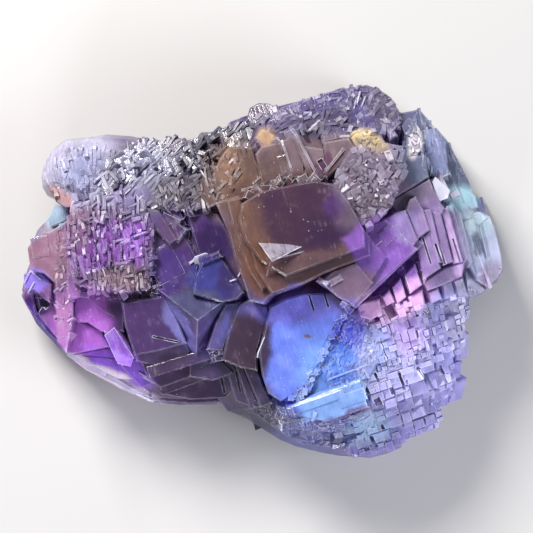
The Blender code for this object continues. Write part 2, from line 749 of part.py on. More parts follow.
def twin_corner(name, apex, bearings, lengths):
    """A cube that shows one corner: its apex and three edges, the rest grown into the mass."""
    edges = [axis * length * MM for axis, length in zip(corner_axes(bearings), lengths)]
    mesh = bmesh.new()
    bmesh.ops.create_cube(mesh, size=1.0)
    for vert in mesh.verts:
        shares = [0.5 - place for place in vert.co]
        vert.co = Vector(apex) * MM + sum((e * s for e, s in zip(edges, shares)), Vector())
    bmesh.ops.recalc_face_normals(mesh, faces=mesh.faces)
    bmesh.ops.bevel(
        mesh, geom=list(mesh.edges), offset=TWIN_BEVEL, segments=1, affect="EDGES"
    )
    return object_from(name, mesh)


def dome_at(x, y):
    """How far out a place is on the dome, its height in millimetres, and its rise to x and y."""
    out = Vector(((x - DOME_MIDDLE[0]) / DOME_RADII[0], (y - DOME_MIDDLE[1]) / DOME_RADII[1]))
    drop = DOME_TOP - DOME_FOOT
    height = DOME_TOP - drop * out.length**DOME_POWER
    steep = -drop * DOME_POWER * out.length ** (DOME_POWER - 2)
    return out.length, height, Vector((steep * out.x / DOME_RADII[0], steep * out.y / DOME_RADII[1]))


def in_mosaic(x, y, reach):
    """The mosaic covers the right and lower parts of the dome, inside its foot."""
    right = x > 18.5 and y < -5.0
    lower = y < -17.0 and x > 15.0
    return reach < 1.0 and (right or lower)


def mosaic_blocks():
    """The stepped blocks of the dome, in rows along the lattice."""
    rng = random.Random(MOSAIC_SEED)
    turn = Matrix.Rotation(math.radians(LATTICE_TURN), 2)
    blocks = []
    v = -sum(MOSAIC_ROWS) / 2 - 6.0
    for row, length in enumerate(MOSAIC_ROWS):
        u = -sum(MOSAIC_COLUMNS) / 2 + rng.uniform(-1.5, 1.5)
        for column, width in enumerate(MOSAIC_COLUMNS):
            place = Vector(DOME_MIDDLE) + turn @ Vector((u + width / 2, v + length / 2))
            reach, height, rise = dome_at(place.x, place.y)
            step = rng.uniform(-MOSAIC_STEP, MOSAIC_STEP)
            if in_mosaic(place.x, place.y, reach):
                lean = [
                    math.degrees(math.atan(slope * MOSAIC_LEAN_KEPT))
                    for slope in turn.transposed() @ rise
                ]
                top = (place.x, place.y, height + step)
                size = (width + 0.12, length + 0.12, MOSAIC_DEPTH)
                name = f"mosaic_{row}_{column}"
                blocks.append(block(name, top, size, attitude(lean, LATTICE_TURN)))
            u += width
        v += length
    return blocks


def spaced(points, distance):
    """The points that are at least this far from the one kept before them."""
    kept = [points[0]]
    for point in points[1:]:
        if (point - kept[-1]).length >= distance:
            kept.append(point)
    return kept


def side_cubes():
    """Cubes that stand out of the sides of the masses, most of them along the lattice."""
    rng = random.Random(SIDE_SEED)
    cubes = []
    for name, rows in SIDE_ROWS.items():
        outline = [Vector(point) for point in MASSES[name][0]]
        middle = sum(outline, Vector((0, 0))) / len(outline)
        for row in range(rows):
            for number, corner in enumerate(spaced(outline[row:], SIDE_SPACING)):
                side = rng.uniform(*SIDE_CUBE)
                place = corner + (middle - corner).normalized() * side * SIDE_INSET[row]
                top = (place.x, place.y, rng.uniform(*SIDE_TOPS[row]))
                lean = (rng.uniform(-9, 9), rng.uniform(-9, 9))
                turned = attitude(lean, LATTICE_TURN + rng.uniform(-10, 10))
                size = (side, side * rng.uniform(0.8, 1.0), side)
                cubes.append(block(f"{name}_side_{row}_{number}", top, size, turned, bevel=0))
    return cubes


def shards(name, middle, radii, top, count, length, turn, seed):
    """Etched rods that lie close together over an oval part of the surface."""
    rng = random.Random(seed)
    height, rise_x, rise_y = top
    rods = []
    for number in range(1, count + 1):
        bearing, out = rng.uniform(0, 2 * math.pi), math.sqrt(rng.random())
        x = out * math.cos(bearing) * radii[0]
        y = out * math.sin(bearing) * radii[1]
        z = height + rise_x * x + rise_y * y + rng.uniform(-0.4, 0.7)
        lean = (math.degrees(math.atan(rise_x)) + rng.uniform(-14, 14),
                math.degrees(math.atan(rise_y)) + rng.uniform(-8, 8))
        size = (rng.uniform(0.9, 1.9), rng.uniform(0.7, 1.3) * length, 8.0)
        turned = attitude(lean, turn + rng.uniform(-16, 16))
        place = (middle[0] + x, middle[1] + y, z)
        rods.append(block(f"{name}_{number}", place, size, turned))
    return rods


def crystals():
    """Every shape of the cluster, before they are joined."""
    shapes = [mass(name, *shape) for name, shape in MASSES.items()]
    shapes += [plate(name, *shape) for name, shape in PLATES.items()]
    shapes += [twin_corner(name, *shape) for name, shape in TWINS.items()]
    for name, shape in SHARDS.items():
        shapes += shards(name, *shape)
    return shapes + mosaic_blocks() + side_cubes()


def apply_boolean(obj, operation, operand=None, collection=None):
    """Applies one Boolean with the exact solver and leaves the result in the object's mesh."""
    modifier = obj.modifiers.new(operation.lower(), "BOOLEAN")
    modifier.operation = operation
    modifier.solver = "EXACT"
    if collection is not None:
        modifier.operand_type = "COLLECTION"
        modifier.collection = collection
    else:
        modifier.object = operand
    graph = bpy.context.evaluated_depsgraph_get()
    joined = bpy.data.meshes.new_from_object(obj.evaluated_get(graph))
    obj.modifiers.clear()
    obj.data = joined


def join(shapes, name):
    """Unions every shape with the first one and removes the rest."""
    body, others = shapes[0], shapes[1:]
    grown = bpy.data.collections.new("grown")
    bpy.context.scene.collection.children.link(grown)
    for other in others:
        grown.objects.link(other)
    apply_boolean(body, "UNION", collection=grown)
    for other in others:
        bpy.data.objects.remove(other, do_unlink=True)
    bpy.data.collections.remove(grown)
    body.name = body.data.name = name
    return body


def cut_root(body):
    """Cuts the cluster flat where it broke off its rock."""
    mesh = bmesh.new()
    bmesh.ops.create_cube(mesh, size=CUT_WIDTH)
    bmesh.ops.translate(mesh, verts=mesh.verts, vec=(0, 0, -CUT_WIDTH / 2))
    cutter = object_from("rock", mesh)
    apply_boolean(body, "DIFFERENCE", operand=cutter)
    bpy.data.objects.remove(cutter, do_unlink=True)


def shells(mesh):
    """The separate shells of a mesh, each a set of its vertices."""
    left = set(mesh.verts)
    found = []
    while left:
        shell = {left.pop()}
        edge_of_shell = list(shell)
        while edge_of_shell:
            vert = edge_of_shell.pop()
            for edge in vert.link_edges:
                other = edge.other_vert(vert)
                if other not in shell:
                    shell.add(other)
                    edge_of_shell.append(other)
        left -= shell
        found.append(shell)
    return found


def tidy(body):
    """Fills the hollows that closed between crystals and merges flat neighbours."""
    mesh = bmesh.new()
    mesh.from_mesh(body.data)
    outer, *inner = sorted(shells(mesh), key=len, reverse=True)
    bmesh.ops.delete(mesh, geom=[vert for shell in inner for vert in shell], context="VERTS")
    bmesh.ops.remove_doubles(mesh, verts=mesh.verts, dist=0.01 * MM)
    bmesh.ops.dissolve_limit(
        mesh, angle_limit=math.radians(FLAT_ANGLE), verts=mesh.verts, edges=mesh.edges
    )
    bmesh.ops.triangulate(mesh, faces=mesh.faces)
    mesh.to_mesh(body.data)
    mesh.free()


def main():
    clear_scene()
    body = join(crystals(), "fluorite_cluster")
    cut_root(body)
    tidy(body)
    body.data.materials.clear()
    body.data.materials.append(fluorite())
    print("triangles", len(body.data.polygons))


main()
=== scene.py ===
"""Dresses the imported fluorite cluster: fine growth, etched patches, colour zones and the studio."""

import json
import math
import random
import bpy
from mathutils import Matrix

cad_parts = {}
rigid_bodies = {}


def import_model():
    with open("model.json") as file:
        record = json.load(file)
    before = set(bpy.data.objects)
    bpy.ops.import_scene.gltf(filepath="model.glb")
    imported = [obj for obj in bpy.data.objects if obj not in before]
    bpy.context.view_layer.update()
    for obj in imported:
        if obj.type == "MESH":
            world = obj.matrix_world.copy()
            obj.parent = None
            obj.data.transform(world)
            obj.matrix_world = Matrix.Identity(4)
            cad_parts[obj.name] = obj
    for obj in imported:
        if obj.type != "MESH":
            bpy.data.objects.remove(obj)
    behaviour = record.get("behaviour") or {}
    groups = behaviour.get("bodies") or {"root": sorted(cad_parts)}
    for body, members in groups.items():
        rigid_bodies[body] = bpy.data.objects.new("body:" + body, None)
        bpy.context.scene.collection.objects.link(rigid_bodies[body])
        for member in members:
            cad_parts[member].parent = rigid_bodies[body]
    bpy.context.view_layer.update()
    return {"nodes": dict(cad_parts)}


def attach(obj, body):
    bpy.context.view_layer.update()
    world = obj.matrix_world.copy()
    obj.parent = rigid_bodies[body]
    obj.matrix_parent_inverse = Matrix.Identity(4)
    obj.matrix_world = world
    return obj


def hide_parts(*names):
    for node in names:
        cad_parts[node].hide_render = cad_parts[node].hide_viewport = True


bl_info = {
    "name": "Fluorite Cluster",
    "version": (1, 0, 0),
    "blender": (4, 5, 0),
    "location": "View3D > Sidebar > Fluorite",
    "description": "Adds fine growth, etched patches and colour zones to a cluster of cubes",
    "category": "Add Mesh",
}

import bpy
from mathutils import Matrix, Vector
from mathutils.bvhtree import BVHTree

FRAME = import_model()
CAD_NODE = "fluorite_cluster"
PIECE = "cluster"

MM = 0.001
LATTICE_TURN = 17.5  # degrees from +X to the row of most cube edges
GROWTH = "growth"  # the collection of shapes that are joined to the cluster
PITS = "pits"  # the collection of shapes that are cut out of it
TONE = "tone"  # face attribute, how light a block is beside its neighbours
ETCH = "etch"  # face attribute, 1 on the satin faces of etched patches
TONE_STEPS = 8  # steps from one whole tone to the next
LIGHTEST = 2.0
MIDDLE_TONE = 0.5

# The dome's mosaic of blocks: outline seen from above in millimetres, how many times its blocks
# are larger than the smallest and largest in the sizes, and how far they are drawn out along
# the lattice.
MOSAIC = {
    "fine": (
        [(18.8, -4.4), (21.4, -5.3), (26.0, -4.5), (31.2, -3.8), (34.1, -4.3), (34.3, -7.8),
         (33.0, -11.4), (17.6, -16.2), (19.4, -13.0), (19.5, -9.8), (18.0, -7.5)],
        1.0, (0.5, 1.0),
    ),
    "coarse": (
        [(17.6, -16.2), (33.0, -11.4), (32.6, -14.4), (32.2, -16.0), (31.2, -20.0),
         (29.7, -21.0), (29.7, -23.4), (28.8, -25.0), (23.4, -27.4), (22.6, -28.8),
         (19.4, -29.6), (14.4, -29.6), (11.8, -28.6), (12.4, -25.8), (13.6, -23.2),
         (17.0, -22.2), (18.0, -20.9), (17.0, -17.6)],
        1.3, (1.1, 2.3),
    ),
}

# How much of a unit shape its top bevel takes: a block stays flat, a shard slopes to a ridge.
TOP_BEVELS = {"block": 0.075, "shard": 0.16}

# Etched patches: outline seen from above, shape, spacing, width range, length range, the
# bearings of the lengths and their spread in degrees, how far the tops stand up, and how far
# they nod. Millimetres, and the nod as a slope.
ETCHED = {
    "hump": (
        [(-30.5, 10.7), (-25, 12.4), (-19, 11), (-17.4, 7.7), (-17.4, 0.4), (-18.7, -2.0),
         (-26.6, -2.6), (-30.2, -1.0), (-31.5, 4.5)],
        "shard", 0.85, (0.3, 0.75), (0.9, 2.6), (97, 97, 97, 20), 9, (0.0, 0.5), 0.42,
    ),
    "dark_band": (
        [(-26.1, 14.7), (-25.3, 17.5), (-22.6, 19.9), (-20, 21.2), (-11.2, 21.6), (-7.2, 23.2),
         (-2.6, 24.6), (-0.8, 22.4), (-0.8, 19.8), (-5.2, 19.9), (-8.2, 16.3), (-7.2, 10.9),
         (-12, 9.8), (-16, 9.9), (-19, 10.8), (-25.3, 12.4)],
        "shard", 0.85, (0.3, 0.7), (1.2, 3.4), (48, 48, 112), 10, (-0.05, 0.35), 0.25,
    ),
    "ridge": (
        [(-2.0, 23.4), (0, 26.0), (6, 27.8), (11.5, 29.3), (17, 30.2), (19, 29.0), (21, 27.6),
         (22.3, 25.0), (22.3, 23.0), (17, 22.7), (12.8, 21.4), (9.4, 22.9), (3, 22.0)],
        "shard", 1.0, (0.45, 1.05), (1.1, 2.9), (17, 17, 35, 60, 107), 15, (-0.08, 0.30), 0.26,
    ),
    "rough": (
        [(12.2, 16.4), (14.5, 20), (18, 18.3), (22.3, 19.8), (23.1, 15.5), (21.5, 13.5),
         (19.7, 9.3), (16.4, 6.8), (14.0, 10.6), (11.3, 13.5)],
        "block", 1.15, (0.6, 1.5), (0.8, 2.1), (20, 50, 80, 110), 25, (-0.1, 0.35), 0.45,
    ),
    "rough_chips": (
        [(12.6, 16.2), (15.5, 19.0), (18, 17.8), (22.0, 18.8), (22.4, 15.5), (20.9, 13.5),
         (19.2, 9.8), (16.4, 7.4), (14.4, 10.6), (12.0, 13.5)],
        "shard", 0.95, (0.3, 0.7), (0.5, 1.4), (20, 50, 80, 110), 25, (0.0, 0.45), 0.45,
    ),
    "gold": (
        [(14.4, 21.7), (16.1, 23.0), (18.5, 22.4), (19.7, 20.1), (19.0, 18.8), (16.9, 19.3)],
        "block", 0.75, (0.4, 0.9), (0.5, 1.2), (17, 60, 110), 25, (0.0, 0.3), 0.6,
    ),
    "knee": (
        [(-7.6, 15.6), (-6.4, 18.3), (-5.2, 19.7), (-2.6, 19.6), (-3.4, 15.0), (-5, 12.0),
         (-6.9, 11)],
        "shard", 1.0, (0.4, 0.8), (0.8, 2.2), (62, 62, 120), 14, (-0.05, 0.35), 0.4,
    ),
    "shoulder": (
        [(22.4, 24.9), (25.5, 25.9), (27.6, 23.6), (30.6, 21.2), (32.4, 18.4), (34, 15),
         (30, 14.6), (26, 15.2), (25, 21)],
        "shard", 0.95, (0.3, 0.6), (1.2, 3.0), (97, 97, 97), 8, (-0.02, 0.16), 0.2,
    ),
    "slope": (
        [(13.8, -5.6), (17.4, -7.6), (18.6, -11.6), (17.2, -16.4), (13.6, -18.2), (10.0, -18.2),
         (9.6, -15.0), (11.4, -9.6)],
        "shard", 0.62, (0.3, 0.7), (0.8, 2.2), (50, 66, 66, 100), 14, (-0.04, 0.16), 0.28,
    ),
    "slope_edge": (
        [(12.3, -6.4), (13.3, -6.2), (10.2, -12.2), (7.3, -18.2), (6.3, -18.0), (9.0, -12.4)],
        "shard", 0.7, (0.25, 0.45), (0.5, 1.4), (62, 62, 30), 14, (-0.02, 0.08), 0.18,
    ),
    "foot": (
        [(6.0, -23.6), (12.6, -22.6), (16.4, -22.4), (19.6, -24.6), (18.8, -28.8), (13.4, -28.6),
         (8.0, -27.4)],
        "shard", 0.8, (0.3, 0.65), (0.8, 2.2), (17, 17, 60), 14, (-0.05, 0.12), 0.24,
    ),
    "low_foot": (
        [(-2.8, -21.6), (0.8, -22.4), (6.4, -24.2), (9.2, -26.6), (6.4, -27.0), (1.2, -24.6)],
        "shard", 1.4, (0.5, 0.9), (1.4, 3.2), (150, 150, 17), 10, (-0.05, 0.05), 0.12,
    ),
    "bright_chips": (
        [(23.0, 23.4), (24.6, 23.6), (25.6, 21.6), (25.2, 19.0), (23.6, 18.4), (22.8, 20.0)],
        "shard", 0.6, (0.3, 0.6), (0.8, 1.8), (60, 100, 140), 20, (0.0, 0.35), 0.45,
    ),
    "shelf": (
        [(-30, -1.9), (-18.5, -1.9), (-18.5, -4.2), (-22, -4.3), (-30, -4.0)],
        "block", 0.75, (0.3, 0.7), (0.4, 1.1), (17, 50), 25, (-0.05, 0.3), 0.6,
    ),
    "rib": (
        [(-33.6, 7.0), (-31.6, 8.0), (-30.6, 2.0), (-30.6, -8.0), (-31.6, -12.4), (-32.9, -10.6),
         (-33.2, -4.4)],
        "shard", 1.0, (0.3, 0.6), (0.7, 1.6), (100, 30), 16, (-0.05, 0.25), 0.3,
    ),
}

# Rubble that fills the deeper gaps between crystals: outline seen from above, spacing, size
# range, how far below the higher side of the gap its tops end, and how far they lean.
# Millimetres, and the lean as a slope.
FILLED_GAPS = {
    "collar": (
        [(-2.4, 12.6), (0.4, 14.6), (6.2, 16.2), (9.4, 16.2), (9.6, 14.0), (6.4, 14.2),
         (0.6, 12.0), (-1.8, 11.0)],
        0.9, (1.0, 2.2), (0.2, 0.8), 0.3,
    ),
    "valley": (
        [(-17.2, 9.4), (-14.0, 9.8), (-11.2, 9.8), (-10.4, 6.0), (-10.8, 2.4), (-12.4, 2.0),
         (-13.4, 5.0), (-15.4, 6.6)],
        1.3, (1.6, 3.6), (0.4, 1.3), 0.2,
    ),
    "notch": (
        [(-19.2, -0.8), (-16.4, -0.8), (-15.6, -3.8), (-18.4, -4.2)],
        0.8, (0.6, 1.4), (0.3, 1.0), 0.4,
    ),
    "pit": (
        [(-8.8, -11.6), (-6.6, -11.4), (-6.4, -14.4), (-8.6, -14.4)],
        0.8, (0.6, 1.4), (0.4, 1.1), 0.4,
    ),
    "seam": (
        [(12.4, -4.6), (14.2, -4.8), (13.6, -9.0), (11.6, -13.2), (9.0, -17.6), (6.0, -20.8),
         (4.2, -19.8), (7.0, -16.2), (9.4, -12.2), (11.4, -8.4)],
        0.55, (0.6, 1.3), (0.0, 0.4), 0.22,
    ),
}

# Crisp flat facets that lie on the faces: outline seen from above in millimetres, how far they
# stand up, and their tone.
FACETS = {
    "twin_facet": ([(-0.5, 4.7), (1.6, 1.7), (6.7, 4.3)], 0.45, 1.3),
    "side_facet": (
        [(27.7, 15.3), (30.0, 13.2), (29.7, 11.9), (28.2, 11.4), (27.2, 14.5)], 0.35, 1.7,
    ),
    "pane_facet": (
        [(-25.4, -10.1), (-23.8, -8.8), (-20.7, -13.7), (-21.2, -15.2), (-23.3, -14.7)], 0.2, 0.7,
    ),
}

# Single bright crystals and splinters: the middle, the length and width, the bearing of the
# length in degrees, how far it stands up, and its tone. Millimetres.
SPLINTERS = [
    (6.9, 18.5, 9.4, 0.6, 118, 0.4, 1.15), (4.0, 18.3, 5.6, 0.5, 109, 0.3, 1.12),
    (3.2, 19.6, 4.0, 0.4, 112, 0.3, 1.08), (11.4, 17.6, 5.4, 0.6, 52, 0.3, 1.05),
    (15.5, 28.0, 2.6, 0.35, 75, 0.45, 1.5), (16.3, 27.4, 2.4, 0.3, 70, 0.45, 1.4),
    (14.9, 26.9, 2.0, 0.3, 78, 0.4, 1.4), (-38.3, -0.8, 2.6, 0.4, 62, 0.3, 1.35),
    (-36.7, -0.6, 2.4, 0.35, 140, 0.3, 1.3), (-37.6, -2.4, 2.4, 0.35, 60, 0.3, 1.35),
    (8.2, 23.4, 2.6, 0.3, 37, 0.35, 2.0), (8.6, 23.9, 2.2, 0.25, 37, 0.35, 1.9),
    (7.4, 22.7, 1.8, 0.3, 30, 0.35, 1.5), (35.0, 2.9, 11.6, 0.5, 112, 0.2, 1.3),
    (31.2, 12.6, 1.8, 1.2, 30, 0.3, 1.9), (-0.1, -11.6, 4.2, 0.25, 66, 0.1, 1.8),
    (-18.6, -17.4, 2.6, 0.4, -30, 0.3, 1.9), (-19.4, -16.6, 1.8, 0.3, -30, 0.3, 1.8),
    (-9.8, 2.6, 2.6, 0.4, 20, 0.3, 1.9), (-11.0, 1.9, 1.8, 0.5, 35, 0.3, 1.6),
    (-3.6, -0.2, 1.4, 0.3, 60, 0.3, 1.8), (-4.6, -1.2, 1.2, 0.3, 20, 0.3, 1.8),
    (-28.8, -15.2, 7.6, 0.9, 151, 0.25, 2.0), (-23.6, -18.2, 6.6, 0.9, 149, 0.25, 2.0),
    (-19.8, -20.6, 4.0, 0.7, 152, 0.2, 1.9), (14.0, -15.8, 8.2, 0.4, 21, 0.2, 1.3),
    (11.6, -1.2, 2.4, 1.2, 30, 0.4, 1.15), (9.6, -1.4, 2.0, 0.9, -30, 0.4, 1.12),
    (1.4, 14.4, 9.6, 0.4, 16, 0.2, 1.1), (-17.2, -2.6, 3.0, 0.5, -40, 0.3, 1.1),
    (18.8, 4.9, 4.6, 0.25, 40, 0.1, 1.2),
]

# The lump: the middle and radii of the part that has fine ridges, seen from above.
LUMP_MIDDLE = (-29.6, 16.9)
LUMP_RADII = (6.6, 5.0)

# The dome, where the painted highlights on edges are stronger and the painted shade in creases
# weaker: its middle and radii, seen from above, in millimetres.
HIGHLIT_DOME_MIDDLE = (26.0, -14.0)
HIGHLIT_DOME_RADII = (11.0, 16.0)

# Thin growth plates on larger faces: the middle, the size along and across the lattice, the
# turn away from it, and how far the plate stands above the face. Millimetres and degrees.
GROWTH_PLATES = [
    (-13.4, -14.6, 10.4, 1.9, 0, 0.10), (-12.0, -17.6, 9.6, 1.7, 4, 0.18),
    (-26.6, -14.6, 6.0, 1.6, -22, 0.14), (-36.0, 4.2, 3.0, 3.4, -8, 0.2),
    (-15.6, 1.4, 4.6, 5.6, 10, 0.16), (20.4, 6.4, 4.0, 2.4, 23, 0.18),
    (9.0, -20.6, 8.6, 1.4, 2, 0.2), (14.4, -20.0, 4.6, 2.2, 2, 0.16),
    (36.2, 5.4, 1.6, 6.0, 0, 0.18), (34.4, 3.2, 1.4, 7.6, 0, 0.16),
    (28.6, 17.4, 2.4, 4.2, 4, 0.16), (3.6, 17.0, 1.6, 3.4, 0, 0.2),
    (6.0, -24.2, 6.4, 2.0, -8, 0.16), (0.6, -21.6, 3.0, 3.2, -16, 0.14),
]

# Slots and pits: the middle, the size along and across the lattice, the turn away from it and
# the depth below the surface. Millimetres and degrees.
SLOTS = [
    (16.9, -18.9, 0.5, 1.5, 10, 0.7), (16.9, -20.7, 0.6, 1.3, 10, 0.7),
    (18.4, -16.8, 0.5, 1.8, 10, 0.7), (20.9, -18.9, 0.8, 1.4, 10, 0.6),
    (18.7, -20.9, 1.1, 2.0, 10, 0.9), (20.5, -6.2, 1.5, 2.2, 10, 0.9),
    (22.6, -18.0, 0.5, 3.4, 10, 0.35), (26.9, -17.3, 0.5, 6.0, 10, 0.35),
    (29.5, -16.8, 0.6, 4.4, 10, 0.35), (19.5, -12.4, 0.2, 4.4, 6, 0.4),
    (18.2, -27.5, 0.6, 2.6, 10, 0.3), (17.1, -28.8, 0.9, 0.9, 0, 0.3),
    (19.5, -25.0, 0.6, 1.0, 10, 0.4), (26.5, -6.1, 1.1, 1.0, 0, 0.3),
    (24.8, -9.9, 0.7, 1.3, 0, 0.4), (22.9, -1.6, 0.5, 3.6, 0, 0.6), (20.5, -2.9, 0.5, 2.2, 0, 0.5),
    (25.8, -1.2, 0.5, 3.2, 0, 0.5), (7.9, -4.8, 0.3, 2.6, 0, 0.5), (10.2, -4.2, 0.3, 2.8, 0, 0.5),
    (26.2, 3.6, 0.3, 4.6, 0, 0.3), (28.9, 2.2, 0.3, 5.4, 0, 0.3), (31.4, 2.6, 0.3, 6.0, 0, 0.3),
    (9.5, 17.2, 0.9, 1.6, 14, 0.4), (-36.1, -5.0, 2.6, 1.4, -20, 1.6),
    (-35.7, -4.6, 1.3, 2.4, 20, 1.4), (-36.9, -5.8, 1.3, 1.4, -50, 1.2),
    (-15.5, -10.7, 0.25, 4.2, 60, 0.3), (-6.6, -17.4, 0.4, 5.0, -6, 0.4),
    (-4.0, -17.0, 0.3, 5.2, -6, 0.4),
]


# Colours of the crystal's fine detail, in linear values: flakes and veils, which also take the
# painted glints; shaded blocks; the painted shade in the creases between blocks; and the painted
# highlights on edges.
VEIL_AND_GLINT = (0.78, 0.76, 0.95, 1.0)
SHADE = (0.02, 0.01, 0.06, 1.0)
CREASE_SHADE = (0.28, 0.20, 0.50, 1.0)
EDGE_HIGHLIGHT = (0.94, 0.93, 1.0, 1.0)
CREASE_SHADE_REACH = 0.8 * MM
EDGE_HIGHLIGHT_REACH = 0.15 * MM

# The optics of fluorite, and how clear a specimen full of fine veils is.
FLUORITE_IOR = 1.434
CLEARNESS = 0.6
ABSORPTION = 12.0


def srgb(red, green, blue):
    """A colour given in screen values 0 to 255, as the linear values that materials take."""
    values = [channel / 255 for channel in (red, green, blue)]
    linear = [v / 12.92 if v <= 0.04045 else ((v + 0.055) / 1.055) ** 2.4 for v in values]
    return (*linear, 1.0)
